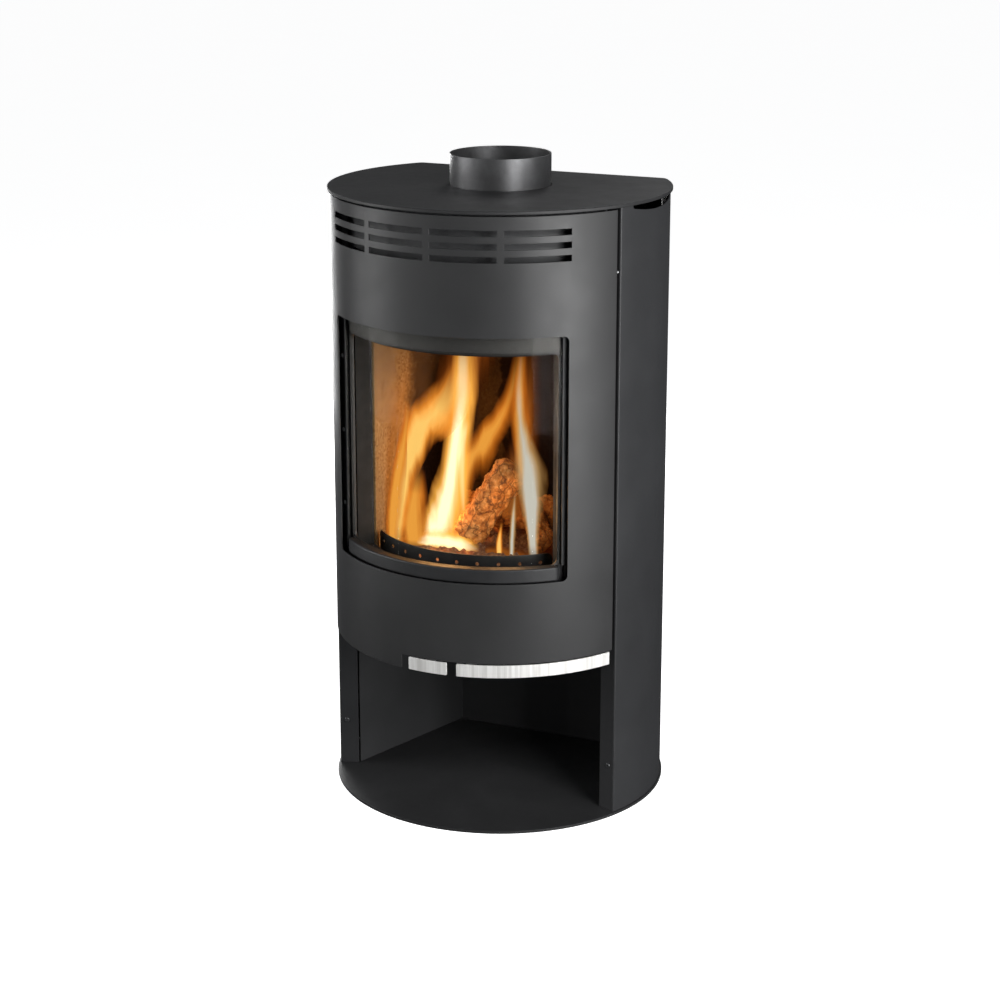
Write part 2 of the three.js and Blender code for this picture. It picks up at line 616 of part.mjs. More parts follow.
// Hook behind the catch roller. Its points are [outward, round the casing] from the roller's centre.
function latchHook() {
  const [rollerX, rollerY] = polar(ROLLER.radius, ROLLER.angle);
  const outward = polar(1, ROLLER.angle);
  const along = polar(1, ROLLER.angle + 90);
  const points = [[12.1, -6], [11.9, 11], [1.2, 11], [1.2, 9.5], [3, 4.6], [5, 0.5], [5.4, -3], [8, -6]];
  return prism(points.map(([u, w]) => [rollerX + u * outward[0] + w * along[0],
    rollerY + u * outward[1] + w * along[1]]), 247.5, 252.5);
}

function latchRoller() {
  return cylinder(ROLLER.size, 246.5, 257, ...polar(ROLLER.radius, ROLLER.angle), 24);
}

function catchBracket() {
  return curvedSheet(214, 241, 59.6, 62.4, 257.3, CARRIER.low - GAP, 1.5);
}

// Small steel ball in the gap between the door's free edge and the side panel.
function catchBall() {
  const { size, radius, z } = CATCH_BALL;
  const ball = new THREE.SphereGeometry(size, 14, 8).translate(-size - GAP, -radius, 0);
  return solidOf(ball.rotateZ(SIDE_EDGE * RAD).translate(0, 0, z));
}

// ---- The stove ---------------------------------------------------------------------------------------------

place('base_plate', 'stovePaint', basePlate());
place('top_plate', 'stovePaint', topPlate());
place('rear_panel', 'stovePaint', rearPanel());
place('wood_store_liner', 'stovePaint', woodStoreLiner());
place('carrier_plate', 'bodyPaint', carrierPlate());
place('flue_collar', 'flueSteel', flueCollar());
place('body_front', 'bodyPaint', bodyFront());
place('firebox_rear_wall', 'bodyPaint', fireboxRearWall());
place('firebox_floor', 'bodyPaint', fireboxFloor());
place('firebox_roof', 'bodyPaint', fireboxRoof());
place('rear_heat_shield', 'zinc', rearHeatShield());
place('rear_brick', 'vermiculite', rearBrick());
place('floor_brick', 'vermiculite', floorBrick());
place('baffle_plate', 'vermiculite', bafflePlate());
place('grate', 'castIron', grate());
place('log_guard', 'castIron', logGuard());
place('ash_pan', 'zinc', ashPan());
place('air_lever', 'stainless', airLever());
place('air_damper', 'zinc', airDamper());
place('door_skin', 'stovePaint', doorSkin());
place('door_frame', 'castIron', doorFrame());
place('door_glass', 'glass', doorGlass());
place('glass_tape', 'rope', glassTape());
place('door_seal', 'rope', doorSeal());
place('door_handle', 'stainless', doorHandle());
place('handle_pivot_pin', 'zinc', handlePivotPin());
place('latch_hook', 'zinc', latchHook());
place('latch_roller', 'zinc', latchRoller());
place('catch_bracket', 'bodyPaint', catchBracket());
place('catch_ball', 'zinc', catchBall());

for (const [name, side] of SIDES) {
  place(`side_panel_${name}`, 'stovePaint', sidePanel(side));
  place(`firebox_wall_${name}`, 'bodyPaint', fireboxSideWall(side));
  place(`side_brick_${name}`, 'vermiculite', sideBrick(side));
  place(`air_guide_pin_${name}`, 'zinc', airGuidePin(side));
  place(`glass_clamp_${name}`, 'castIron', glassClamp(side));
  place(`flange_screw_${name}`, 'zinc', flangeScrew(side));
  CLAMP_SCREW.heights.forEach((z, i) => place(`clamp_screw_${name}_${i + 1}`, 'zinc', clampScrew(side, z)));
  REAR_SCREW.heights.forEach((z, i) => place(`rear_screw_${name}_${i + 1}`, 'zinc', rearScrew(side, z)));
}

['bottom', 'top'].forEach((name, i) => {
  const z = HINGE.heights[i];
  place(`hinge_bracket_${name}`, 'bodyPaint', hingeBracket(z));
  place(`hinge_lug_${name}`, 'bodyPaint', hingeLug(z));
  place(`hinge_pin_${name}`, 'zinc', hingePin(z));
});

export default group;
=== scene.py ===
"""Wood burning stove: the visual model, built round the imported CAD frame.

Builders work in millimetres in the CAD frame (+Z up, the door faces -Y, angles in degrees from the front,
positive towards +X) and scale to metres when a mesh is finished.
"""
import math
from types import SimpleNamespace as Dims

import bmesh
import bpy
from mathutils import Matrix, Vector, noise
from mathutils.geometry import delaunay_2d_cdt


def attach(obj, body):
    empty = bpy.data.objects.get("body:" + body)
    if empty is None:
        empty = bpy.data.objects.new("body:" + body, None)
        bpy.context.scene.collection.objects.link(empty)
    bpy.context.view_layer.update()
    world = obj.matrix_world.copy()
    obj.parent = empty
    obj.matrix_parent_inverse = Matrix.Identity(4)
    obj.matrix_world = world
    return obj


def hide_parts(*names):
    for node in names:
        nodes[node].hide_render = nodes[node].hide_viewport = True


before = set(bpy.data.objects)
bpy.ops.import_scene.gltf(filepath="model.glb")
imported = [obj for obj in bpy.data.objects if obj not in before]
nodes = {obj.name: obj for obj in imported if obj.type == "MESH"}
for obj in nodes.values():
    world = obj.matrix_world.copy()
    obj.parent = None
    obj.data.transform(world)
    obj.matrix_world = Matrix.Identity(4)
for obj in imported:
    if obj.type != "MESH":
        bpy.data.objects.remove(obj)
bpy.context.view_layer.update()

# ---- Driving dimensions, millimetres and degrees, as in the CAD ----

SIDES = (("left", -1), ("right", 1))

CASING_RADIUS = 251.0
SHEET = 2.0
CASING_TOP = 917.0
TOP_PLATE = Dims(radius=254.5, low=917.0, high=922.0)
BASE_PLATE = Dims(radius=253.8, low=0.0, high=4.0)
PLATE_REAR = 153.0
PLATE_CORNER = 12.0
REAR_FACE = 151.7
FOLD_RADIUS = 2.6
SCREW_HOLE = 2.6

PANEL = Dims(low=4.3, high=CASING_TOP - 0.3)
SIDE_EDGE = 66.5
SIDE_FLANGE_INNER = 222.0
SIDE_LIP = Dims(inner=178, outer=199, front=147.3, rear=149.3)
OUTLET = Dims(front=-75.5, rear=73.4, low=CASING_TOP - 12.5, radius=374.0)
GRILLE = Dims(columns=3, rows=4, spacing=100, pitch=18, half_width=45, height=9, low=290)

DOOR_EDGE = 65.4
DOOR_TOP = 914.0
DOOR_FLANGE_INNER = 233.0
DOOR_FLANGE_LOW = 263.6
DOOR_LOW_EDGE = 242.3
DOOR_NOTCH_EDGE = 263.5
DOOR_LOW_FLANGE_OUTER = 248.9
NOTCH_START = -10.7
WINDOW = Dims(angle=46.85, low=384.0, high=743.0, corner=8.0)
SLOT = Dims(span=47.5, web=2.2, columns=4, rows=3, height=8.8, pitch=18.4, top=895.0)
HINGE_HEIGHTS = (300.0, 880.0)
HINGE_NOTCH = Dims(above=4.3, below=5, rest=1.0)

STRIP = Dims(inner=248.5, outer=251.0, low=242.5, high=261.5)
AIR_LEVER = (-7.9, 6.2)
HANDLE = (9.5, 63.9)
LEVER_ARM = Dims(angles=(-2.4, 0.7), inner=205.0, outer=248.8, low=256.0, high=259.0)
HANDLE_LUG = Dims(angles=(11.9, 16.1), inner=231.0, outer=248.8, low=254.0, high=257.0)
HANDLE_PIVOT = Dims(angle=14.0, radius=238.0, hole=3.3)

FLUE = Dims(radius=75.0, wall=2.0, top=968.0, foot=803.3, y=2.0)

STORE_FRONT = (203.5, -85.0)
STORE_REAR = (134.0, 146.0)
STORE_TOP = 262.7
LINER_SHEET = 1.5
LINER_BEND = 3.0

DOOR_FRAME = Dims(inner=229.0, outer=232.0, low=368.0, high=760.0, angle=64.86)
FRAME_RING = Dims(outer=233.2, angle=52.0, low=376.0, high=755.0)
FRAME_OPENING = Dims(angle=44.8, low=404.0, high=716.0, corner=10.0)
LEDGE = Dims(inner=231.0, outer=244.0, angle=45.2, low=383.0, high=404.0)
GLASS = Dims(inner=235.0, outer=239.0, angle=46.6, low=404.4, high=750.0)
CLAMP = Dims(lip=45.6, foot=47.0, end=51.5, inner=233.5, outer=241.5, low=386.0, high=752.0)
CLAMP_LIP = Dims(inner=239.3, outer=241.45, low=404.6)
CLAMP_SCREW = Dims(angle=48.6, heights=(454.5, 567.0, 679.5))
GUARD = Dims(inner=188.0, outer=190.0, angle=48.0, low=377.3, high=408.0)
GUARD_HOLES = Dims(count=10, radius=2.6, z=395.0, spread=42.3)

WALL_FRONT = (170.0, -138.0)
WALL_REAR = (150.0, 108.0)
BRICK = 25.0
BRICK_LOW = 351.3
BRICK_TOP = 738.0
BRICK_FRONT = -133.0
BRICK_GAP = 0.5
LINING_TOP = 377.0
COAL_BED = Dims(half_width=118, front=-150, depth=225, guard=186.0)

FLANGE_SCREW = Dims(radius=240.0, z=76.0)
REAR_SCREW = Dims(x=189.0, heights=(60.0, 460.0, 860.0))


# ---- Plane geometry ----

def polar(radius, degrees):
    turn = math.radians(degrees)
    return (radius * math.sin(turn), -radius * math.cos(turn))


def sweep_angles(start, end):
    count = max(1, math.ceil(abs(end - start) / 1.25))
    return [start + (end - start) * i / count for i in range(count + 1)]


def arc(radius, start, end):
    return [polar(radius, angle) for angle in sweep_angles(start, end)]


def signed_area(loop):
    return sum(a[0] * b[1] - b[0] * a[1] for a, b in zip(loop, loop[1:] + loop[:1])) / 2


def anticlockwise(loop):
    return loop if signed_area(loop) > 0 else loop[::-1]


def clockwise(loop):
    return anticlockwise(loop)[::-1]


def inside(point, loop):
    x, y = point
    found = False
    for (x0, y0), (x1, y1) in zip(loop, loop[1:] + loop[:1]):
        if (y0 > y) != (y1 > y) and x < (x1 - x0) * (y - y0) / (y1 - y0) + x0:
            found = not found
    return found


def rounded(corners, segments):
    """A closed loop of (x, y, radius) corners with each corner rounded to its radius."""
    loop = []
    count = len(corners)
    for i, (x, y, radius) in enumerate(corners):
        here = Vector((x, y))
        before = (Vector(corners[i - 1][:2]) - here).normalized()
        after = (Vector(corners[(i + 1) % count][:2]) - here).normalized()
        half = before.angle(after) / 2
        if radius <= 0 or half > math.radians(89):
            loop.append((x, y))
            continue
        reach = radius / math.tan(half)
        centre = here + (before + after).normalized() * (radius / math.sin(half))
        start = here + before * reach - centre
        end = here + after * reach - centre
        turn = start.angle_signed(end)
        for k in range(segments + 1):
            spot = centre + start.normalized() @ Matrix.Rotation(turn * k / segments, 2) * radius
            loop.append((spot.x, spot.y))
    return loop


def box_loop(x0, x1, y0, y1, radius, segments=6):
    return rounded([(x0, y0, radius), (x1, y0, radius), (x1, y1, radius), (x0, y1, radius)], segments)


def circle(x, y, radius, segments=20):
    turns = [2 * math.pi * i / segments for i in range(segments)]
    return [(x + radius * math.cos(turn), y + radius * math.sin(turn)) for turn in turns]


def angle_box(a0, a1, z0, z1, radius, corner, segments):
    """A round-cornered opening as (degrees, z), with corners that are round on the given radius."""
    scale = math.radians(1) * radius
    return [(u / scale, z) for u, z in box_loop(a0 * scale, a1 * scale, z0, z1, corner, segments)]


def front_box(part, radius, corner, segments):
    """A box centred on the front, from a dimension group with an angle, a low and a high."""
    return angle_box(-part.angle, part.angle, part.low, part.high, radius, corner, segments)


def angle_circle(angle, z, radius, seat, segments):
    """A hole as (degrees, z) that is round on a seat of the given radius."""
    scale = math.radians(1) * seat
    return [(u / scale, v) for u, v in circle(angle * scale, z, radius, segments)]


def shrunk(loop, distance):
    """The loop moved to its left by a distance, with mitred corners."""
    moved = []
    count = len(loop)
    for i, (x, y) in enumerate(loop):
        before = Vector((x - loop[i - 1][0], y - loop[i - 1][1])).normalized()
        after = Vector((loop[(i + 1) % count][0] - x, loop[(i + 1) % count][1] - y)).normalized()
        mitre = distance / (1 + before.dot(after))
        moved.append((x - (before.y + after.y) * mitre, y + (before.x + after.x) * mitre))
    return moved


# ---- Solid geometry ----

def add_cap(bm, loops, rings, upward):
    """Fills the face between an outer loop and its holes; rings hold the vertices of each loop."""
    flat = [point for loop in loops for point in loop]
    corners = [vert for ring in rings for vert in ring]
    edges = []
    first = 0
    for loop in loops:
        edges += [(first + i, first + (i + 1) % len(loop)) for i in range(len(loop))]
        first += len(loop)
    made = delaunay_2d_cdt([Vector(p) for p in flat], edges, [], 0, 1e-7)
    spots, triangles, origin = made[0], made[2], made[3]
    for triangle in triangles:
        middle = sum((spots[i] for i in triangle), Vector((0, 0))) / 3
        if not inside(middle, loops[0]) or any(inside(middle, hole) for hole in loops[1:]):
            continue
        verts = [corners[origin[i][0]] for i in triangle]
        a, b, c = (spots[i] for i in triangle)
        if ((b - a).cross(c - a) > 0) != upward:
            verts.reverse()
        bm.faces.new(verts)


def add_ring(bm, points, z):
    return [bm.verts.new((x, y, z)) for x, y in points]


def close_ends(bm, rings):
    bm.faces.new(rings[0][::-1])
    bm.faces.new(rings[-1])


def join_rings(bm, rings):
    """Adds the faces between each ring of vertices and the next."""
    for below, above in zip(rings, rings[1:]):
        for i in range(len(below)):
            j = (i + 1) % len(below)
            bm.faces.new((below[i], below[j], above[j], above[i]))


def outward(bm):
    """Turns a closed body's faces outwards."""
    if bm.calc_volume(signed=True) < 0:
        bmesh.ops.reverse_faces(bm, faces=bm.faces[:])
    return bm


def slab(outer, holes, low, high, edge, segments=3):
    """A closed body over a plane outline with holes, from low to high, with every edge rounded."""
    bm = bmesh.new()
    loops = [anticlockwise(outer)] + [clockwise(hole) for hole in holes]
    turns = [math.pi / 2 * k / segments for k in range(segments + 1)]
    levels = [(edge * (1 - math.sin(t)), low + edge * (1 - math.cos(t))) for t in turns]
    levels += [(offset, high + low - w) for offset, w in reversed(levels)]
    bottoms, tops, inset_loops = [], [], []
    for loop in loops:
        rings = [add_ring(bm, shrunk(loop, offset), w) for offset, w in levels]
        join_rings(bm, rings)
        bottoms.append(rings[0])
        tops.append(rings[-1])
        inset_loops.append(shrunk(loop, edge))
    add_cap(bm, inset_loops, bottoms, False)
    add_cap(bm, inset_loops, tops, True)
    return bm


def cut_columns(bm, positions):
    """Cuts the faces along u at each position, so that the body can be rolled."""
    for u in positions:
        geometry = bm.verts[:] + bm.edges[:] + bm.faces[:]
        bmesh.ops.bisect_plane(bm, geom=geometry, plane_co=(u, 0, 0), plane_no=(1, 0, 0), dist=1e-6)


def cut_evenly(bm, outline, step):
    """Cuts a flat body into columns of one step, counted from u = 0."""
    count = int(max(abs(u) for u, _ in outline) / step)
    cut_columns(bm, [i * step for i in range(-count, count + 1)])


def remap(bm, place):
    """Moves each vertex from its flat position (u, v, w) to place(u, v, w) and turns the faces outwards."""
    for vert in bm.verts:
        vert.co = Vector(place(*vert.co))
    return outward(bm)


class FoldedLine:
    """The plan of a folded and rolled sheet: runs and bends, followed from a start and a heading."""

    def __init__(self, start, heading, runs):
        self.runs = []
        self.cuts = []
        x, y, turn, travelled = start[0], start[1], math.radians(heading), 0.0
        for length, bend in runs:
            curve = math.radians(bend) / length
            self.runs.append((travelled, length, x, y, turn, curve))
            pieces = max(1, math.ceil(abs(bend) / (1.25 if length > 20 else 18)))
            self.cuts += [travelled + length * i / pieces for i in range(pieces)]
            x, y, turn = self.step(x, y, turn, curve, length)
            travelled += length
        self.length = travelled

    @staticmethod
    def step(x, y, turn, curve, length):
        if abs(curve) < 1e-9:
            return x + length * math.cos(turn), y + length * math.sin(turn), turn
        end = turn + curve * length
        x += (math.sin(end) - math.sin(turn)) / curve
        y -= (math.cos(end) - math.cos(turn)) / curve
        return x, y, end

    def at(self, u):
        """Place and left-hand normal at a distance u along the line."""
        run = self.runs[0]
        for candidate in self.runs:
            if candidate[0] <= u + 1e-7:
                run = candidate
        first, _, x, y, turn, curve = run
        x, y, turn = self.step(x, y, turn, curve, u - first)
        return x, y, -math.sin(turn), math.cos(turn)


def folded_sheet(line, outline, holes, thickness):
    """A sheet cut flat as (u, z), its outer face along the line, its thickness to the line's left."""
    bm = slab(outline, holes, 0.0, thickness, 0.3)
    cut_columns(bm, [u for u in line.cuts if u > 0])

    def place(u, v, w):
        x, y, nx, ny = line.at(u)
        depth = thickness - w
        return x + nx * depth, y + ny * depth, v

    return remap(bm, place)


def rolled(outline, holes, inner, outer, edge, segments=3):
    """A sheet cut flat as (degrees round the casing, z), rolled between two radii."""
    scale = math.radians(1) * outer
    flat = [(a * scale, z) for a, z in outline]
    flat_holes = [[(a * scale, z) for a, z in hole] for hole in holes]
    bm = slab(flat, flat_holes, inner, outer, edge, segments)
    cut_evenly(bm, flat, 1.25 * scale)
    return remap(bm, lambda u, v, w: (*polar(w, u / scale), v))


def ring_plate(outline, low, high, edge, segments=3):
    """A plate cut flat as (degrees round the casing, radius), lying between two heights."""
    middle = sum(r for _, r in outline) / len(outline)
    scale = math.radians(1) * middle
    flat = [(a * scale, r) for a, r in outline]
    bm = slab(flat, [], low, high, edge, segments)
    cut_evenly(bm, flat, 1.25 * scale)
    return remap(bm, lambda u, v, w: (*polar(v, u / scale), w))


def turned_ring(profile, segments):
    """A ring-shaped body of revolution about Z from a closed profile of (radius, z) points."""
    bm = bmesh.new()
    rings = [add_ring(bm, circle(0, 0, radius, segments), z) for radius, z in profile]
    join_rings(bm, rings + rings[:1])
    return outward(bm)


def moved(bm, matrix):
    bm.transform(matrix)
    if matrix.determinant() < 0:
        bmesh.ops.reverse_faces(bm, faces=bm.faces[:])
    return bm


def mirrored(bm):
    return moved(bm, Matrix.Scale(-1, 4, (1, 0, 0)))


def new_object(name, data):
    obj = bpy.data.objects.new(name, data)
    bpy.context.scene.collection.objects.link(obj)
    return obj


def piece(name, bodies, material, body, replaces=(), crisp=False):
    """Joins closed bodies into one object in metres, shaded smooth, riding on a CAD body."""
    mesh = bpy.data.meshes.new(name)
    joined = bmesh.new()
    for part in bodies:
        part.to_mesh(mesh)
        part.free()
        joined.from_mesh(mesh)
    joined.transform(Matrix.Scale(0.001, 4))
    joined.to_mesh(mesh)
    joined.free()
    mesh.shade_smooth()
    if crisp:
        mesh.set_sharp_from_angle(angle=math.radians(40))
    obj = new_object(name, mesh)
    mesh.materials.append(material)
    weighted = obj.modifiers.new("weighted normals", "WEIGHTED_NORMAL")
    weighted.keep_sharp = crisp
    weighted.weight = 100
    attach(obj, body)
    if replaces:
        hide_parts(*replaces)
    return obj


# ---- Material helpers ----

class Surface:
    """A node material with a few helpers that keep each recipe short."""

    def __init__(self, name):
        self.material = bpy.data.materials.new(name)
        self.material.use_nodes = True
        self.tree = self.material.node_tree
        self.tree.nodes.clear()
        self.output = self.tree.nodes.new("ShaderNodeOutputMaterial")
        self.place = self.add("TexCoord").outputs["Object"]

    def add(self, kind, inputs=None, **settings):
        node = self.tree.nodes.new("ShaderNode" + kind)
        for key, value in settings.items():
            setattr(node, key, value)
        for key, value in (inputs or {}).items():
            self.feed(node.inputs[key], value)
        return node

    def feed(self, socket, value):
        if isinstance(value, bpy.types.NodeSocket):
            self.tree.links.new(value, socket)
        else:
            socket.default_value = value

    def stretched(self, x, y, z):
        return self.add("Mapping", {"Vector": self.place, "Scale": (x, y, z)}).outputs["Vector"]

    def noise(self, scale, detail=4.0, rough=0.55, place=None, distortion=0.0):
        inputs = {"Vector": place or self.place, "Scale": scale, "Detail": detail, "Roughness": rough,
                  "Distortion": distortion}
        return self.add("TexNoise", inputs).outputs["Fac"]

    def flecks(self, scale, channel):
        """A level for each grain of a packed surface."""
        grains = self.add("TexVoronoi", {"Vector": self.place, "Scale": scale}).outputs["Color"]
        return self.add("SeparateColor", {"Color": grains}).outputs[channel]

    def cracks(self, scale, place=None):
        """Distance from the nearest crack between grains."""
        inputs = {"Vector": place or self.place, "Scale": scale}
        return self.add("TexVoronoi", inputs, feature="DISTANCE_TO_EDGE").outputs["Distance"]

    def ranged(self, value, low, high, to_low, to_high):
        inputs = {"Value": value, "From Min": low, "From Max": high, "To Min": to_low, "To Max": to_high}
        return self.add("MapRange", inputs).outputs["Result"]

    def varied(self, low, high, *noise_settings):
        """A noise that runs between two values."""
        return self.ranged(self.noise(*noise_settings), 0.3, 0.7, low, high)

    def ramp(self, value, stops):
        node = self.add("ValToRGB", {"Fac": value})
        elements = node.color_ramp.elements
        while len(elements) < len(stops):
            elements.new(0.5)
        for element, (position, colour) in zip(elements, stops):
            element.position = position
            element.color = (*colour, 1.0)
        return node.outputs["Color"]

    def mix(self, amount, first, second):
        node = self.add("Mix", data_type="RGBA")
        self.feed(node.inputs["Factor"], amount)
        for socket, value in ((node.inputs[6], first), (node.inputs[7], second)):
            self.feed(socket, (*value, 1.0) if isinstance(value, tuple) and len(value) == 3 else value)
        return node.outputs[2]

    def maths(self, operation, first, second, clamp=False):
        node = self.add("Math", operation=operation, use_clamp=clamp)
        self.feed(node.inputs[0], first)
        self.feed(node.inputs[1], second)
        return node.outputs["Value"]

    def times(self, first, second, clamp=False):
        return self.maths("MULTIPLY", first, second, clamp)

    def seen_from_outside(self):
        """1 on the outside of a face, 0 on its back."""
        return self.maths("SUBTRACT", 1.0, self.add("NewGeometry").outputs["Backfacing"])

    def coordinate(self, axis):
        return self.add("SeparateXYZ", {"Vector": self.place}).outputs[axis]

    def attribute(self, name):
        return self.add("Attribute", attribute_name=name).outputs["Fac"]

    def finish(self, shader):
        """Ends the recipe with its shader and returns the material."""
        self.feed(self.output.inputs["Surface"], shader)
        return self.material

    def principled(self, colour, rough, bumps, inputs=()):
        """Ends with a principled shader, under bump layers of (height, distance, strength)."""
        inputs = {"Base Color": colour, "Roughness": rough, **dict(inputs)}
        for height, distance, strength in bumps:
            layer = {"Height": height, "Distance": distance, "Strength": strength}
            if "Normal" in inputs:
                layer["Normal"] = inputs["Normal"]
            inputs["Normal"] = self.add("Bump", layer).outputs["Normal"]
        return self.finish(self.add("BsdfPrincipled", inputs).outputs["BSDF"])


# ---- Materials ----

def scaled(tone, factor):
    return tuple(channel * factor for channel in tone)


def stove_paint(name, tone, roughness):
    """Heat-proof matt paint: charcoal with a fine sprayed grain, a soft unevenness and faint dust."""
    s = Surface(name)
    broad = s.noise(5.0, 3.0)
    grain = s.noise(1400.0, 2.0, 0.7)
    peel = s.noise(260.0, 2.0, 0.5)
    colour = s.mix(s.ranged(broad, 0.35, 0.65, 0.0, 1.0), scaled(tone, 0.9), scaled(tone, 1.12))
    speck = s.ranged(s.noise(900.0, 1.0), 0.64, 0.8, 0.0, 0.35)
    colour = s.mix(speck, colour, scaled(tone, 2.2))
    rough = s.varied(roughness - 0.05, roughness + 0.06, 18.0, 5.0, 0.6)
    bumps = [(grain, 0.00006, 0.35), (peel, 0.00012, 0.25)]
    return s.principled(colour, rough, bumps, {"Specular IOR Level": 0.32})


def blasted_steel(name):
    """The spigot's dark blasted and painted steel, with fine bright grains."""
    s = Surface(name)
    grain = s.noise(620.0, 3.0, 0.75)
    level = s.flecks(900.0, "Red")
    colour = s.mix(s.varied(0.0, 1.0, 30.0, 4.0), (0.10, 0.10, 0.102), (0.145, 0.146, 0.15))
    rough = s.ranged(level, 0.0, 1.0, 0.30, 0.52)
    return s.principled(colour, rough, [(grain, 0.0002, 0.5), (level, 0.0001, 0.35)], {"Metallic": 0.75})


def brushed_stainless(name):
    """Bright stainless steel, brushed up and down; its near-white, mostly diffuse colour is painted
    reflection of the white floor.
    """
    s = Surface(name)
    lines = s.noise(1.0, 3.0, 0.7, s.stretched(1500.0, 1500.0, 20.0))
    broad = s.noise(1.0, 2.0, 0.5, s.stretched(160.0, 160.0, 6.0))
    # Near-white base with little metal: painted reflection, standing in for the floor the strips would
    # mirror.
    colour = s.mix(s.ranged(lines, 0.3, 0.7, 0.0, 1.0), (0.80, 0.795, 0.775), (0.98, 0.975, 0.95))
    colour = s.mix(s.ranged(broad, 0.38, 0.66, 0.0, 0.6), colour, (0.52, 0.51, 0.485))
    rough = s.ranged(lines, 0.2, 0.8, 0.36, 0.52)
    return s.principled(colour, rough, [(lines, 0.00004, 0.5)], {"Metallic": 0.30})


def cast_paint(name, tone, roughness, smoked_below=None):
    """Painted casting, smoother and darker than the sheet; smoke-stained below a height, if given."""
    s = Surface(name)
    skin = s.noise(420.0, 4.0, 0.6)
    colour = s.mix(s.varied(0.0, 1.0, 22.0, 4.0), scaled(tone, 0.85), scaled(tone, 1.2))
    rough = s.varied(roughness - 0.07, roughness + 0.08, 60.0, 4.0)
    if smoked_below:
        ragged = s.maths("ADD", s.coordinate("Z"), s.varied(-0.012, 0.012, 30.0, 4.0))
        smoke = s.ranged(ragged, smoked_below - 0.03, smoked_below + 0.03, 0.9, 0.0)
        colour = s.mix(smoke, colour, (0.007, 0.0068, 0.0065))
        rough = s.maths("ADD", rough, s.times(smoke, 0.35), True)
    return s.principled(colour, rough, [(skin, 0.00015, 0.4)], {"Specular IOR Level": 0.4})


def zinc_plate(name, tone):
    """Plated steel of screws and small parts."""
    s = Surface(name)
    spangle = s.flecks(450.0, "Green")
    colour = s.mix(s.ranged(spangle, 0.0, 1.0, 0.0, 0.3), tone, scaled(tone, 0.7))
    rough = s.varied(0.3, 0.48, 300.0, 3.0)
    return s.principled(colour, rough, [(s.noise(800.0, 2.0), 0.00003, 0.4)], {"Metallic": 0.7})


def glass_rope(name):
    """Woven glass fibre cord, grey from heat."""
    s = Surface(name)
    weave = s.add("TexWave", {"Vector": s.place, "Scale": 220.0, "Distortion": 2.5, "Detail": 2.0},
                  bands_direction="DIAGONAL").outputs["Fac"]
    fibre = s.noise(1200.0, 3.0)
    colour = s.mix(weave, (0.035, 0.034, 0.032), (0.12, 0.117, 0.11))
    rough = s.ranged(fibre, 0.0, 1.0, 0.8, 1.0)
    return s.principled(colour, rough, [(weave, 0.0004, 0.7), (fibre, 0.0001, 0.5)])


def flat_tape(name):
    """Flat woven tape round the glass, smooth and dark."""
    s = Surface(name)
    weave = s.noise(700.0, 3.0)
    colour = s.mix(weave, (0.020, 0.020, 0.0205), (0.048, 0.048, 0.048))
    rough = s.varied(0.45, 0.6, 120.0, 2.0)
    return s.principled(colour, rough, [(weave, 0.0001, 0.4)])


def vermiculite(name, soot, axis, darken_from, darken_to, top_share):
    """Pressed vermiculite board: tan and flecked, streaked with smoke, and darker towards one end of an
    axis, to a set share above a height.
    """
    s = Surface(name)
    level = s.flecks(330.0, "Red")
    colour = s.ramp(level, [(0.0, (0.24, 0.135, 0.055)), (0.35, (0.32, 0.195, 0.085)),
                            (0.8, (0.37, 0.235, 0.105)), (1.0, (0.43, 0.29, 0.14))])
    streaks = s.noise(1.0, 4.0, 0.6, s.stretched(11.0, 11.0, 3.2), 0.8)
    smoke = s.ranged(streaks, 0.36, 0.68, soot * soot, soot)
    wander = s.varied(-0.025, 0.025, 16.0, 3.0)
    # Darker along the axis from darken_from to darken_to, scaled to top_share above 0.67 m.
    along = s.ranged(s.maths("ADD", s.coordinate(axis), wander), darken_from, darken_to, 0.0, 1.0)
    height = s.ranged(s.maths("ADD", s.coordinate("Z"), wander), 0.55, 0.67, 1.0, top_share)
    # The greater of the smoke streaks and the darkening along the axis.
    smoke = s.maths("MAXIMUM", smoke, s.times(along, height))
    colour = s.mix(smoke, colour, (0.006, 0.0022, 0.0012))
    rough = s.ranged(level, 0.0, 1.0, 0.75, 0.98)
    bumps = [(level, 0.0003, 0.4), (s.noise(140.0, 4.0), 0.001, 0.4)]
    return s.principled(colour, rough, bumps, {"Specular IOR Level": 0.1})


GLASS_GLOSS = 0.055   # share of the glass's mirror reflection that is kept


def door_glass_material(name):
    """Clear ceramic glass: see-through, with a weak mirror gloss on its outer faces and a trace of haze."""
    s = Surface(name)
    clear = s.add("BsdfTransparent", {"Color": (0.95, 0.945, 0.93, 1.0)}).outputs["BSDF"]
    haze_map = s.ranged(s.noise(1.0, 3.0, 0.5, s.stretched(42.0, 42.0, 3.0)), 0.55, 0.80, 0.0, 0.015)
    haze = s.add("BsdfDiffuse", {"Color": (0.32, 0.30, 0.27, 1.0)}).outputs["BSDF"]
    pane = s.add("MixShader", {0: haze_map, 1: clear, 2: haze}).outputs["Shader"]
    gloss = s.add("BsdfGlossy", {"Roughness": 0.03, "Color": (1, 1, 1, 1)}).outputs["BSDF"]
    fresnel = s.add("Fresnel", {"IOR": 1.47}).outputs["Fac"]
    share = s.times(s.seen_from_outside(), GLASS_GLOSS)
    shine = s.add("MixShader", {0: s.times(fresnel, share), 1: pane, 2: gloss})
    return s.finish(shine.outputs["Shader"])


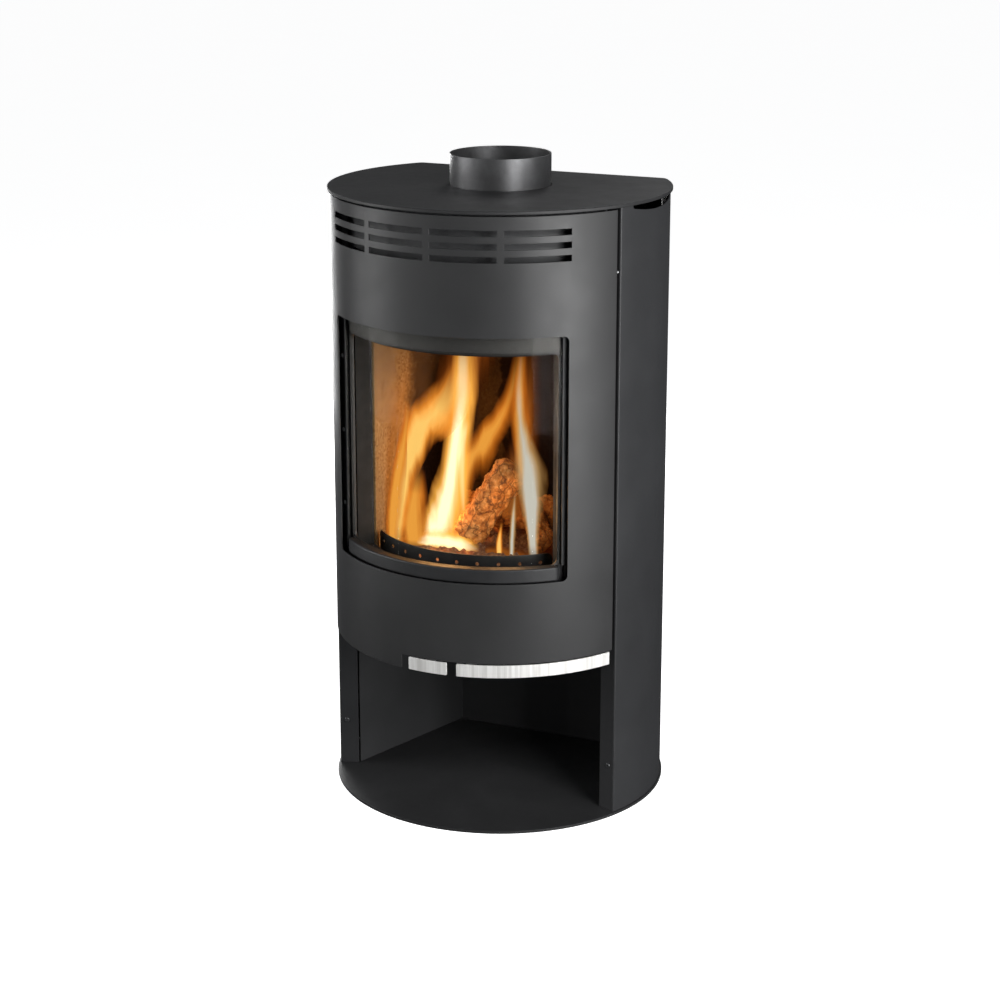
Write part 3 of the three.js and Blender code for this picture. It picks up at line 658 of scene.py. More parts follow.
def bark(name, ember_and_painted_firelight_share):
    """Burning split log: rust-orange bark with dark cracks, glowing with its own embers low down and with
    painted firelight all over.
    """
    s = Surface(name)
    wander = s.add("TexNoise", {"Vector": s.place, "Scale": 40.0, "Detail": 3.0}).outputs["Color"]
    bent = s.mix(0.03, s.stretched(1.0, 1.0, 0.5), wander)
    cracks = s.cracks(48.0, bent)
    fine = s.noise(95.0, 5.0, 0.6)
    streak = s.noise(48.0, 4.0, 0.6, None, 1.5)
    colour = s.ramp(fine, [(0.30, (0.10, 0.027, 0.006)), (0.47, (0.36, 0.13, 0.025)),
                           (0.70, (0.74, 0.38, 0.12))])
    colour = s.mix(s.ranged(streak, 0.45, 0.7, 0.0, 0.5), colour, (0.72, 0.27, 0.05))
    colour = s.mix(s.ranged(cracks, 0.0, 0.06, 0.75, 0.0), colour, (0.03, 0.008, 0.003))
    heat = s.times(s.attribute("heat"), s.ranged(s.noise(45.0, 4.0), 0.45, 0.66, 0.0, 1.0))
    # Painted firelight: the whole log emits 12 % of its bark colour as if lit by the fire around it; the
    # hot orange low down is the log's own ember glow.
    glow = s.mix(heat, s.mix(0.12, (0.0, 0.0, 0.0), colour), (1.0, 0.16, 0.02))
    rough = s.ranged(fine, 0.0, 1.0, 0.7, 0.95)
    bumps = [(cracks, 0.003, 0.5), (fine, 0.0015, 0.45)]
    return s.principled(colour, rough, bumps, {"Emission Color": glow, "Emission Strength": ember_and_painted_firelight_share})


def coals(name):
    """Glowing bed: grey-black coals with fire in the gaps between them."""
    s = Surface(name)
    gaps = s.cracks(48.0)
    ash = s.noise(260.0, 5.0, 0.65)
    colour = s.ramp(ash, [(0.3, (0.02, 0.016, 0.014)), (0.6, (0.10, 0.07, 0.05)),
                          (0.85, (0.35, 0.31, 0.27))])
    patches = s.times(s.ranged(s.noise(34.0, 4.0), 0.42, 0.66, 0.0, 1.0), s.attribute("ember"))
    hot = s.times(s.ranged(gaps, 0.0, 0.3, 1.0, 0.25), patches)
    glow = s.ramp(hot, [(0.0, (0.02, 0.002, 0.0)), (0.45, (0.28, 0.035, 0.003)), (1.0, (1.0, 0.36, 0.05))])
    rough = s.ranged(ash, 0.0, 1.0, 0.75, 1.0)
    bumps = [(ash, 0.002, 0.6)]
    return s.principled(colour, rough, bumps, {"Emission Color": glow, "Emission Strength": 0.9})


def flame(name, core, body, edge, strength):
    """Fire: brightest along the middle of a tongue, thinning to nothing at its sides and tip."""
    s = Surface(name)
    across = s.attribute("across")
    along = s.attribute("along")
    wisps = s.noise(1.0, 3.0, 0.5, s.stretched(22.0, 22.0, 4.5), 1.0)
    licks = s.ranged(wisps, 0.3, 0.7, -0.24, 0.24)
    spread = s.maths("ADD", across, licks)
    heat = s.ranged(spread, 0.0, 1.0, 1.0, 0.0)
    cooling = s.ranged(along, 0.3, 0.95, 1.0, 0.55)
    tone = s.times(heat, cooling)
    colour = s.ramp(tone, [(0.0, edge), (0.38, body), (0.74, core), (1.0, core)])
    solid = s.ranged(heat, 0.04, 0.70, 0.0, 1.0)
    foot = s.ranged(along, 0.0, 0.08, 0.35, 1.0)
    tip = s.ranged(along, 0.72, 1.0, 1.0, 0.0)
    solid = s.times(s.times(solid, foot), tip, True)
    solid = s.times(solid, s.seen_from_outside())
    light = s.add("Emission", {"Color": colour, "Strength": strength}).outputs["Emission"]
    clear = s.add("BsdfTransparent", {"Color": (1, 1, 1, 1)}).outputs["BSDF"]
    return s.finish(s.add("MixShader", {0: solid, 1: clear, 2: light}).outputs["Shader"])


PAINT = stove_paint("stove_paint", (0.030, 0.0302, 0.0308), 0.42)
# Darker copies of the stove paint for the sides and rear, the plates and the wood store: painted shade, set
# part by part.
SIDE_PAINT_SHADED = stove_paint("stove_paint_sides_painted_shade", (0.026, 0.0265, 0.028), 0.45)
PLATE_PAINT_SHADED = stove_paint("stove_paint_plates_painted_shade", (0.022, 0.0223, 0.0232), 0.5)
STORE_PAINT_SHADED = stove_paint("stove_paint_store_painted_shade", (0.028, 0.0285, 0.0295), 0.5)
BODY_PAINT = cast_paint("body_paint", (0.024, 0.0245, 0.0255), 0.55)
# A lighter copy of the body paint on the front casting: painted light, standing in for light that reaches
# it through the door's slots; smoke-stained below 0.775 m.
FRONT_PAINT_LIT = cast_paint("body_paint_front_painted_light", (0.055, 0.056, 0.058), 0.5, smoked_below=0.775)
CAST = cast_paint("cast_iron", (0.019, 0.0193, 0.0203), 0.48)
SPIGOT = blasted_steel("flue_steel")
STAINLESS_PAINTED_REFLECTION = brushed_stainless("stainless")
ZINC = zinc_plate("zinc", (0.66, 0.67, 0.68))
BLACK_SCREW = zinc_plate("zinc_black", (0.10, 0.102, 0.105))
ROPE = glass_rope("rope")
BOARD = vermiculite("vermiculite", 0.5, "Y", -0.075, -0.015, 0.80)
REAR_BOARD = vermiculite("vermiculite_sooted", 0.92, "X", -0.09, -0.03, 1.0)
TAPE = flat_tape("rope_flat")
PANE = door_glass_material("glass")
# Full emission for the front log, a quarter for the rest: more painted firelight on the log nearest the
# flames; the bark colour is the same.
BARK = bark("bark", 1.0)
BARK_LESS_PAINTED_FIRELIGHT = bark("bark_less_painted_firelight", 0.25)
COALS = coals("coals")


# ---- Casing ----

def plate_outline(radius):
    """The D outline of the base plate and the top plate."""
    reach = radius - PLATE_CORNER
    corner_y = PLATE_REAR - PLATE_CORNER
    corner_x = math.sqrt(reach ** 2 - corner_y ** 2)
    meet = math.degrees(math.atan2(corner_x, -corner_y))
    right = []
    for i in range(9):
        dx, dy = polar(PLATE_CORNER, meet + (180 - meet) * i / 8)
        right.append((corner_x + dx, corner_y + dy))
    left = [(-x, y) for x, y in reversed(right)]
    return arc(radius, -meet, meet) + right[1:] + left[:-1]


def build_plates():
    flue_hole = circle(0, FLUE.y, FLUE.radius + 0.8, 96)
    plates = [("base_plate", BASE_PLATE, [], 0.6), ("top_plate", TOP_PLATE, [flue_hole], 1.1)]
    for name, plate, holes, edge in plates:
        sheet = slab(plate_outline(plate.radius), holes, plate.low, plate.high, edge)
        piece(f"{name}_sheet", [sheet], PLATE_PAINT_SHADED, "root", [name])


def flange_runs(flange_inner):
    """Runs from the inner end of a radial flange round its bend, and the degrees the bend takes up."""
    offset = math.degrees(math.asin(FOLD_RADIUS / (CASING_RADIUS - FOLD_RADIUS)))
    reach = (CASING_RADIUS - FOLD_RADIUS) * math.cos(math.radians(offset))
    turn = 90 + offset
    return [(reach - flange_inner, 0.0), (FOLD_RADIUS * math.radians(turn), turn)], offset


def outlet_notch(along):
    """The warm-air notch under the top plate, from its rear end to its front end, cut flat."""
    notch = []
    for i in range(25):
        y = OUTLET.rear + (OUTLET.front - OUTLET.rear) * i / 24
        middle = y - (OUTLET.front + OUTLET.rear) / 2
        z = OUTLET.low + OUTLET.radius - math.sqrt(OUTLET.radius ** 2 - middle ** 2)
        notch.append((along(math.degrees(math.acos(-y / CASING_RADIUS))), z, 0.0))
    return notch


def build_side_panels():
    rear_angle = 180 - math.degrees(math.acos((REAR_FACE - 0.2) / CASING_RADIUS))
    low, high = PANEL.low, PANEL.high
    runs, offset = flange_runs(SIDE_FLANGE_INNER)
    sweep = rear_angle - SIDE_EDGE - offset
    runs.append((math.radians(sweep) * CASING_RADIUS, sweep))
    line = FoldedLine(polar(SIDE_FLANGE_INNER, SIDE_EDGE), SIDE_EDGE - 90, runs)
    first = runs[0][0] + runs[1][0]

    def along(angle):
        return first + math.radians(angle - SIDE_EDGE - offset) * CASING_RADIUS

    notch = outlet_notch(along)
    (start, start_z, _), (end, end_z, _) = notch[0], notch[-1]
    corners = [(0, low, 1.0), (line.length, low, 0.5), (line.length, high, 0.5)]
    corners += [(start, high, 0.5), (start, start_z, 1.5)] + notch[1:-1]
    corners += [(end, end_z, 1.5), (end, high, 0.5), (0, high, 1.0)]
    hole = circle(FLANGE_SCREW.radius - SIDE_FLANGE_INNER, FLANGE_SCREW.z, SCREW_HOLE)
    lip_holes = [circle(REAR_SCREW.x, z, SCREW_HOLE) for z in REAR_SCREW.heights]
    lip_outline = box_loop(SIDE_LIP.inner, SIDE_LIP.outer, low, high, 0.5, 2)
    for name in ("right", "left"):
        sheet = folded_sheet(line, rounded(corners, 3), [hole], SHEET)
        lip = slab(lip_outline, lip_holes, SIDE_LIP.front, SIDE_LIP.rear, 0.3)
        remap(lip, lambda u, v, w: (u, w, v))
        bodies = [sheet, lip]
        if name == "left":
            bodies = [mirrored(body) for body in bodies]
        piece(f"side_sheet_{name}", bodies, SIDE_PAINT_SHADED, "root", [f"side_panel_{name}"])


def build_rear_panel():
    holes = []
    for row in range(GRILLE.rows):
        for column in range(GRILLE.columns):
            x = (column - 1) * GRILLE.spacing
            z = GRILLE.low + row * GRILLE.pitch
            holes.append(box_loop(x - GRILLE.half_width, x + GRILLE.half_width, z, z + GRILLE.height, 4.4))
    for side in (-1, 1):
        holes += [circle(side * REAR_SCREW.x, z, SCREW_HOLE) for z in REAR_SCREW.heights]
    outline = box_loop(-197, 197, PANEL.low, PANEL.high, 2.0)
    panel = slab(outline, holes, REAR_FACE - SHEET, REAR_FACE, 0.35)
    remap(panel, lambda u, v, w: (u, w, v))
    piece("rear_sheet", [panel], SIDE_PAINT_SHADED, "root", ["rear_panel"])


def build_wood_store():
    fx, fy = STORE_FRONT
    rx, ry = STORE_REAR
    side_length = math.hypot(fx - rx, ry - fy)
    lean = math.degrees(math.atan2(ry - fy, rx - fx))
    turn = 180 - lean
    cut = LINER_BEND * math.tan(math.radians(turn / 2))
    wall = (side_length - cut, 0.0)
    corner = (LINER_BEND * math.radians(turn), turn)
    runs = [wall, corner, (2 * rx - 2 * cut, 0.0), corner, wall]
    line = FoldedLine(STORE_FRONT, lean, runs)
    outline = box_loop(0, line.length, PANEL.low, STORE_TOP, 1.0, 2)
    liner = folded_sheet(line, outline, [], LINER_SHEET)
    piece("wood_store_sheet", [liner], STORE_PAINT_SHADED, "root", ["wood_store_liner"])


def build_spigot():
    inner, outer = FLUE.radius - FLUE.wall, FLUE.radius
    foot, top = FLUE.foot, FLUE.top
    flange = outer + 14
    corners = [(inner, foot, 0.4), (flange, foot, 0.4), (flange, foot + 3, 0.8), (outer, foot + 3, 1.0),
               (outer, top, 0.7), (inner, top, 0.7)]
    tube = turned_ring(rounded(corners, 4), 128)
    moved(tube, Matrix.Translation((0, FLUE.y, 0)))
    piece("flue_spigot", [tube], SPIGOT, "root", ["flue_collar"])


# ---- Door ----

def build_door_skin():
    runs, offset = flange_runs(DOOR_FLANGE_INNER)
    sweep = 2 * (DOOR_EDGE - offset)
    runs = runs + [(math.radians(sweep) * CASING_RADIUS, sweep), runs[1], runs[0]]
    line = FoldedLine(polar(DOOR_FLANGE_INNER, -DOOR_EDGE), -DOOR_EDGE - 90, runs)
    first = runs[0][0] + runs[1][0]

    def along(angle):
        return first + math.radians(angle + DOOR_EDGE - offset) * CASING_RADIUS

    flange_low, flange_top = DOOR_FLANGE_LOW, DOOR_TOP - 1
    left_end, right_end = runs[0][0] - 0.5, line.length - runs[0][0] + 0.5
    corners = [(0, flange_low, 0.5), (left_end, flange_low, 0.0), (left_end, DOOR_LOW_EDGE, 1.5),
               (along(NOTCH_START), DOOR_LOW_EDGE, 1.0), (along(NOTCH_START), DOOR_NOTCH_EDGE, 1.0),
               (right_end, DOOR_NOTCH_EDGE, 0.0), (right_end, flange_low + 0.2, 0.0),
               (line.length, flange_low + 0.2, 0.5), (line.length, flange_top, 0.5),
               (right_end, flange_top, 0.0), (right_end, DOOR_TOP, 1.2), (left_end, DOOR_TOP, 1.2),
               (left_end, flange_top, 0.0), (0, flange_top, 0.5)]
    notch_end = runs[0][0] - HINGE_NOTCH.rest
    for z in reversed(HINGE_HEIGHTS):
        top, foot = z + HINGE_NOTCH.above, z - HINGE_NOTCH.below
        corners += [(0, top, 0.5), (notch_end, top, 1.0), (notch_end, foot, 1.0), (0, foot, 0.5)]
    holes = [box_loop(along(-WINDOW.angle), along(WINDOW.angle), WINDOW.low, WINDOW.high,
                      WINDOW.corner, 10)]
    width = (2 * SLOT.span - (SLOT.columns - 1) * SLOT.web) / SLOT.columns
    for row in range(SLOT.rows):
        high = SLOT.top - row * SLOT.pitch
        for column in range(SLOT.columns):
            start = -SLOT.span + column * (width + SLOT.web)
            holes.append(box_loop(along(start), along(start + width), high - SLOT.height, high, 0.8, 3))
    skin = folded_sheet(line, rounded(corners, 3), holes, SHEET)
    edge = math.degrees(SHEET / CASING_RADIUS)
    side = DOOR_EDGE - edge
    low_flange = ring_plate([(a, DOOR_LOW_FLANGE_OUTER) for a in sweep_angles(-side, side)]
                            + [(a, DOOR_FLANGE_INNER) for a in sweep_angles(side, -side)],
                            DOOR_FLANGE_LOW, DOOR_FLANGE_LOW + SHEET, 0.3)
    piece("door_sheet", [skin, low_flange], PAINT, "door", ["door_skin"])


def build_door_frame():
    f, ring, opening, ledge = DOOR_FRAME, FRAME_RING, FRAME_OPENING, LEDGE
    holes = [front_box(opening, 230, opening.corner, 8)]
    for side in (-1, 1):
        holes += [angle_circle(side * CLAMP_SCREW.angle, z, 2.1, 230, 16) for z in CLAMP_SCREW.heights]
    plate = rolled(front_box(f, 230, 3.0, 3), holes, f.inner, f.outer, 0.5)
    seat = rolled(front_box(ring, 232, 4.0, 4), holes, f.outer - 0.3, ring.outer, 0.4)
    outline = ledge_outline(ledge.inner, ledge.outer, ledge.angle, 10.0)
    sill = ring_plate(outline, ledge.low, ledge.high, 2.4, 5)
    piece("door_frame_casting", [plate, seat, sill], CAST, "door", ["door_frame"])


def ledge_outline(inner, outer, angle, corner):
    """A strip round the casing as (degrees, radius) whose two outer corners are round."""
    scale = math.radians(1) * (inner + outer) / 2
    loop = rounded([(-angle * scale, inner, 0), (angle * scale, inner, 0),
                    (angle * scale, outer, corner), (-angle * scale, outer, corner)], 10)
    dense = []
    for (x0, y0), (x1, y1) in zip(loop, loop[1:] + loop[:1]):
        count = max(1, math.ceil(abs(x1 - x0) / (2.5 * scale)))
        dense += [((x0 + (x1 - x0) * i / count) / scale, y0 + (y1 - y0) * i / count) for i in range(count)]
    return dense


def build_glass():
    pane = rolled(front_box(GLASS, 238, 2.0, 4), [], GLASS.inner, GLASS.outer, 0.9, 4)
    piece("door_glass_pane", [pane], PANE, "door", ["door_glass"])


def build_clamps():
    c, edge = CLAMP, CLAMP_LIP
    for name, side in SIDES:
        foot_span = sorted((side * c.foot, side * c.end))
        lip_span = sorted((side * c.lip, side * (c.foot + 0.6)))
        holes = [angle_circle(side * CLAMP_SCREW.angle, z, 2.1, 240, 16) for z in CLAMP_SCREW.heights]
        foot = rolled(angle_box(*foot_span, c.low, c.high, 240, 2.0, 4), holes, c.inner, c.outer, 0.8)
        lip = rolled(angle_box(*lip_span, edge.low, c.high, 240, 1.0, 3), [], edge.inner, edge.outer, 0.8)
        piece(f"glass_clamp_bar_{name}", [foot, lip], CAST, "door", [f"glass_clamp_{name}"])


# ---- Strips ----

def strip_body(start, end):
    outline = angle_box(start, end, STRIP.low, STRIP.high, STRIP.outer, 1.4, 4)
    return rolled(outline, [], STRIP.inner, STRIP.outer, 0.45)


def build_strips():
    start, end = LEVER_ARM.angles
    inner, outer = LEVER_ARM.inner, LEVER_ARM.outer
    arm = ring_plate([(start, inner), (end, inner), (end, outer), (start, outer)],
                     LEVER_ARM.low, LEVER_ARM.high, 0.5)
    lever = [strip_body(*AIR_LEVER), arm]
    piece("air_lever_strip", lever, STAINLESS_PAINTED_REFLECTION, "air_control", ["air_lever"])
    scale = math.radians(1) * 240
    hole_scale = math.radians(1) * HANDLE_PIVOT.radius
    hole = [((HANDLE_PIVOT.angle + u / hole_scale) * scale, HANDLE_PIVOT.radius + v)
            for u, v in circle(0, 0, HANDLE_PIVOT.hole, 24)]
    start, end = (angle * scale for angle in HANDLE_LUG.angles)
    inner, outer = HANDLE_LUG.inner, HANDLE_LUG.outer
    outline = rounded([(start, inner, 5), (end, inner, 5), (end, outer, 0), (start, outer, 0)], 6)
    lug = slab(outline, [hole], HANDLE_LUG.low, HANDLE_LUG.high, 0.4)
    remap(lug, lambda u, v, w: (*polar(v, u / scale), w))
    handle = [strip_body(*HANDLE), lug]
    piece("door_handle_strip", handle, STAINLESS_PAINTED_REFLECTION, "handle", ["door_handle"])


# ---- Screws ----

def socket_screw(head_radius, head_height, shank_radius, shank_length, socket_radius, depth):
    """A round-headed screw along +Z with a hexagon socket; its head rests on z = 0."""
    bm = bmesh.new()
    segments = 36

    def hexagon_radius(angle):
        from_flat = (angle + math.pi / 6) % (math.pi / 3) - math.pi / 6
        return socket_radius * math.cos(math.pi / 6) / math.cos(from_flat)

    rim = 0.25
    profile = [(shank_radius, -shank_length), (shank_radius, -0.05), (head_radius * 0.96, 0.0),
               (head_radius, rim)]
    for k in range(1, 7):
        turn = math.pi / 2 * k / 6
        radius = head_radius * (0.55 + 0.45 * math.cos(turn))
        profile.append((radius, rim + (head_height - rim) * math.sin(turn)))
    rings = [add_ring(bm, circle(0, 0, radius, segments), z) for radius, z in profile]
    angles = [2 * math.pi * i / segments for i in range(segments)]
    hexagon = [(hexagon_radius(a) * math.cos(a), hexagon_radius(a) * math.sin(a)) for a in angles]
    for z, grow in ((head_height, 1.06), (head_height - 0.15, 1.0), (head_height - depth, 1.0)):
        rings.append(add_ring(bm, [(grow * x, grow * y) for x, y in hexagon], z))
    join_rings(bm, rings)
    close_ends(bm, rings)
    return bm


def place_screw(name, screw, place, direction, material, body):
    """Puts a screw in the place of a CAD screw, with its head towards a direction."""
    kind, end = name.split("_screw_")
    turn = Vector(direction).to_track_quat("Z", "Y").to_matrix().to_4x4()
    moved(screw, Matrix.Translation(place) @ turn)
    piece(f"{kind}_screw_head_{end}", [screw], material, body, [name], True)


def build_screws():
    for name, side in SIDES:
        for i, z in enumerate(CLAMP_SCREW.heights, 1):
            angle = side * CLAMP_SCREW.angle
            place_screw(f"clamp_screw_{name}_{i}", socket_screw(3.6, 1.9, 1.8, 11.0, 1.5, 1.2),
                        (*polar(241.75, angle), z), (*polar(1, angle), 0), ZINC, "door")
        for i, z in enumerate(REAR_SCREW.heights, 1):
            place_screw(f"rear_screw_{name}_{i}", socket_screw(4.5, 1.3, 2.2, 8.5, 1.6, 0.9),
                        (side * REAR_SCREW.x, REAR_FACE, z), (0, 1, 0), BLACK_SCREW, "root")
        outwards = Vector((*polar(1, side * (SIDE_EDGE - 90)), 0))
        seat = Vector((*polar(FLANGE_SCREW.radius, side * SIDE_EDGE), FLANGE_SCREW.z))
        place_screw(f"flange_screw_{name}", socket_screw(4.0, 2.0, 2.2, 5.5, 1.7, 1.3),
                    seat + outwards * 0.25, outwards, BLACK_SCREW, "root")


# ---- Firebox ----

def wall_x(y):
    share = (y - WALL_FRONT[1]) / (WALL_REAR[1] - WALL_FRONT[1])
    return WALL_FRONT[0] + share * (WALL_REAR[0] - WALL_FRONT[0])


def build_bricks():
    y0, y1 = BRICK_FRONT, WALL_REAR[1] - BRICK_GAP
    x0, x1 = wall_x(y0) - BRICK_GAP, wall_x(y1) - BRICK_GAP
    for name, side in SIDES:
        loop = [(x0, y0), (x1, y1), (x1 - BRICK, y1), (x0 - BRICK, y0)]
        outline = rounded([(side * x, y, 1.5) for x, y in loop], 3)
        brick = slab(outline, [], BRICK_LOW, BRICK_TOP, 1.2)
        piece(f"side_board_{name}", [brick], BOARD, "root", [f"side_brick_{name}"])
    half = x1 - BRICK - 0.4
    brick = slab(box_loop(-half, half, y1 - BRICK, y1, 1.5, 3), [], BRICK_LOW, BRICK_TOP, 1.2)
    piece("rear_board", [brick], REAR_BOARD, "root", ["rear_brick"])


def build_guard():
    g, h = GUARD, GUARD_HOLES
    outline = front_box(g, g.outer, 9.0, 8)
    outline = [p for p in outline if p[1] > g.low + 9.0] + [(-g.angle, g.low), (g.angle, g.low)]
    middle = (g.low + g.high) / 2
    outline.sort(key=lambda p: math.atan2(p[1] - middle, p[0]))
    holes = []
    for i in range(h.count):
        angle = -h.spread + 2 * h.spread * i / (h.count - 1)
        holes.append(angle_circle(angle, h.z, h.radius, g.outer, 18))
    guard = rolled(outline, holes, g.inner, g.outer, 0.6)
    piece("log_guard_plate", [guard], CAST, "root", ["log_guard"])


# ---- CAD nodes that keep their own shape ----

def refine_node(name, material, width):
    """Rounds a CAD node's edges with modifiers and gives it its material."""
    obj = nodes[name]
    mesh = obj.data
    custom = mesh.attributes.get("custom_normal")
    if custom:
        mesh.attributes.remove(custom)
    mesh.shade_smooth()
    mesh.materials.clear()
    mesh.materials.append(material)
    weld = obj.modifiers.new("weld", "WELD")
    weld.merge_threshold = 0.00001
    bevel = obj.modifiers.new("edges", "BEVEL")
    bevel.width = width / 1000
    bevel.segments = 2
    bevel.limit_method = "ANGLE"
    bevel.angle_limit = math.radians(30)
    bevel.harden_normals = True


def refine_nodes():
    finishes = [
        (FRONT_PAINT_LIT, 0.4, "body_front"),
        (BODY_PAINT, 0.4, "firebox_rear_wall firebox_floor firebox_roof"),
        (BODY_PAINT, 0.4, "firebox_wall_left firebox_wall_right"),
        (BODY_PAINT, 0.3, "carrier_plate catch_bracket hinge_bracket_bottom hinge_bracket_top"),
        (BODY_PAINT, 0.3, "hinge_lug_bottom hinge_lug_top"),
        (CAST, 0.8, "grate"),
        (TAPE, 0.2, "glass_tape"),
        (ROPE, 0.8, "door_seal"),
        (BOARD, 1.0, "floor_brick"),
        (BOARD, 1.2, "baffle_plate"),
        (ZINC, 0.3, "ash_pan air_damper latch_hook latch_roller"),
        (ZINC, 0.2, "rear_heat_shield handle_pivot_pin hinge_pin_bottom hinge_pin_top"),
        (ZINC, 0.2, "air_guide_pin_left air_guide_pin_right"),
        (ZINC, 0.05, "catch_ball"),
    ]
    for material, width, names in finishes:
        for name in names.split():
            refine_node(name, material, width)


# ---- Fire ----

LOG_SQUASH = 0.8   # depth of a log over its height


def log_body(start, end, radius, seed):
    """A split log between two points: a rough wedge of wood with torn ends and flaking bark."""
    bm = bmesh.new()
    start, end = Vector(start), Vector(end)
    axis = (end - start).normalized()
    side = axis.cross(Vector((0, 1, 0.2))).normalized()
    front = side.cross(axis)
    around, lengthwise = 72, 90
    shift = Vector((seed * 37.0, seed * 11.0, seed * 5.0))
    rings = []
    for k in range(lengthwise + 1):
        share = k / lengthwise
        spot = start.lerp(end, share)
        taper = min(1.0, 0.72 + 3.2 * min(share, 1 - share))
        ring = []
        for i in range(around):
            angle = 2 * math.pi * i / around
            wedge = 1.0 - 0.16 * math.cos(3 * angle + seed) - 0.05 * math.cos(5 * angle)
            direction = side * math.cos(angle) + front * math.sin(angle) * LOG_SQUASH
            reach = radius * taper * wedge
            place = spot + direction * reach
            coarse = noise.noise((place + shift) * 0.055) * 0.20
            plates = abs(noise.noise((place + shift) * 0.16 + axis * 3)) * 0.20
            fine = noise.noise((place + shift) * 0.5) * 0.05
            ring.append(bm.verts.new(spot + direction * reach * (1 + coarse - plates + fine)))
        rings.append(ring)
    join_rings(bm, rings)
    for ring, centre, outward_axis in ((rings[0], start, -axis), (rings[-1], end, axis)):
        middle = bm.verts.new(centre + outward_axis * radius * 0.12)
        for i in range(around):
            j = (i + 1) % around
            bm.faces.new((ring[i], ring[j], middle) if outward_axis is axis else (ring[j], ring[i], middle))
    return outward(bm)


def write_attribute(obj, name, value):
    """Stores one number per vertex, from a function of the vertex place in millimetres."""
    layer = obj.data.attributes.new(name, "FLOAT", "POINT")
    for index, vert in enumerate(obj.data.vertices):
        layer.data[index].value = value(vert.co * 1000)


def build_logs():
    logs = [
        ("log_leaning", BARK, (-22, -85, 397), (53, -68, 514), 25, 1.0),
        ("log_rear", BARK_LESS_PAINTED_FIRELIGHT, (-95, 8, 408), (88, 22, 414), 26, 2.0),
        ("log_left", BARK_LESS_PAINTED_FIRELIGHT, (-96, -52, 398), (0, 0, 424), 20, 3.0),
        ("log_right", BARK_LESS_PAINTED_FIRELIGHT, (100, -66, 396), (40, 14, 430), 20, 4.0),
    ]
    for name, material, start, end, radius, seed in logs:
        obj = piece(name, [log_body(start, end, radius, seed)], material, "root")
        write_attribute(obj, "heat", lambda p: max(0.0, min(1.0, (450 - p.z) / 70)))


def build_coals():
    """A low heap of coals on the lining and the grate."""
    bm = bmesh.new()
    columns, rows = 110, 84
    grid = []
    for i in range(columns + 1):
        line = []
        for j in range(rows + 1):
            u, v = i / columns, j / rows
            x = COAL_BED.half_width * (2 * u - 1)
            y = COAL_BED.front + COAL_BED.depth * v
            edge = min(1.0, 5 * min(u, 1 - u), 5 * min(v, 1 - v))
            y = max(y, 2 - math.sqrt(COAL_BED.guard ** 2 - x ** 2))
            lumps = abs(noise.noise(Vector((x, y, 0)) * 0.055)) * 14
            lumps += abs(noise.noise(Vector((x, y, 9)) * 0.13)) * 6
            line.append(bm.verts.new((x, y, LINING_TOP + 1.2 + edge * (3 + lumps))))
        grid.append(line)
    for i in range(columns):
        for j in range(rows):
            bm.faces.new((grid[i][j], grid[i + 1][j], grid[i + 1][j + 1], grid[i][j + 1]))
    rim = [line[0] for line in grid] + grid[-1][1:]
    rim += [line[-1] for line in grid[-2::-1]] + grid[0][-2:0:-1]
    under = [bm.verts.new((v.co.x, v.co.y, LINING_TOP + 0.4)) for v in rim]
    for i in range(len(rim)):
        j = (i + 1) % len(rim)
        bm.faces.new((rim[j], rim[i], under[i], under[j]))
    bm.faces.new(under[::-1])
    bed = piece("coal_bed", [outward(bm)], COALS, "root")
    write_attribute(bed, "ember", lambda p: max(0.04, min(1.0, 2.0 - abs(p.x + 36) / 24)))


def smooth_between(values, share):
    """Catmull-Rom through evenly spaced values."""
    spot = share * (len(values) - 1)
    i = min(int(spot), len(values) - 2)
    t = spot - i
    p1, p2 = values[i], values[i + 1]
    p0 = values[i - 1] if i > 0 else p1 * 2 - p2
    p3 = values[i + 2] if i + 2 < len(values) else p2 * 2 - p1
    return 0.5 * (2 * p1 + (p2 - p0) * t + (2 * p0 - 5 * p1 + 4 * p2 - p3) * t * t
                  + (3 * p1 - p0 - 3 * p2 + p3) * t ** 3)


def tongue(name, stations, material, flat):
    """A flame: a soft-edged closed body through (x, y, z, half width) stations from its foot to its tip."""
    points = [Vector(station[:3]) for station in stations]
    widths = [station[3] for station in stations]
    bm = bmesh.new()
    across = bm.verts.layers.float.new("across")
    along = bm.verts.layers.float.new("along")
    around, steps = 28, 64
    rings = []
    for k in range(steps + 1):
        share = k / steps
        spot = smooth_between(points, share)
        before, after = max(0.0, share - 0.01), min(1.0, share + 0.01)
        heading = (smooth_between(points, after) - smooth_between(points, before)).normalized()
        side = heading.cross(Vector((0, 1, 0))).normalized()
        depth = side.cross(heading).normalized()
        width = max(0.4, smooth_between(widths, share))
        ring = []
        for i in range(around):
            angle = 2 * math.pi * i / around
            reach = side * math.cos(angle) * width + depth * math.sin(angle) * width * flat
            vert = bm.verts.new(spot + reach)
            vert[across] = abs(math.cos(angle))
            vert[along] = share
            ring.append(vert)
        rings.append(ring)
    join_rings(bm, rings)
    close_ends(bm, rings)
    piece(name, [outward(bm)], material, "root")


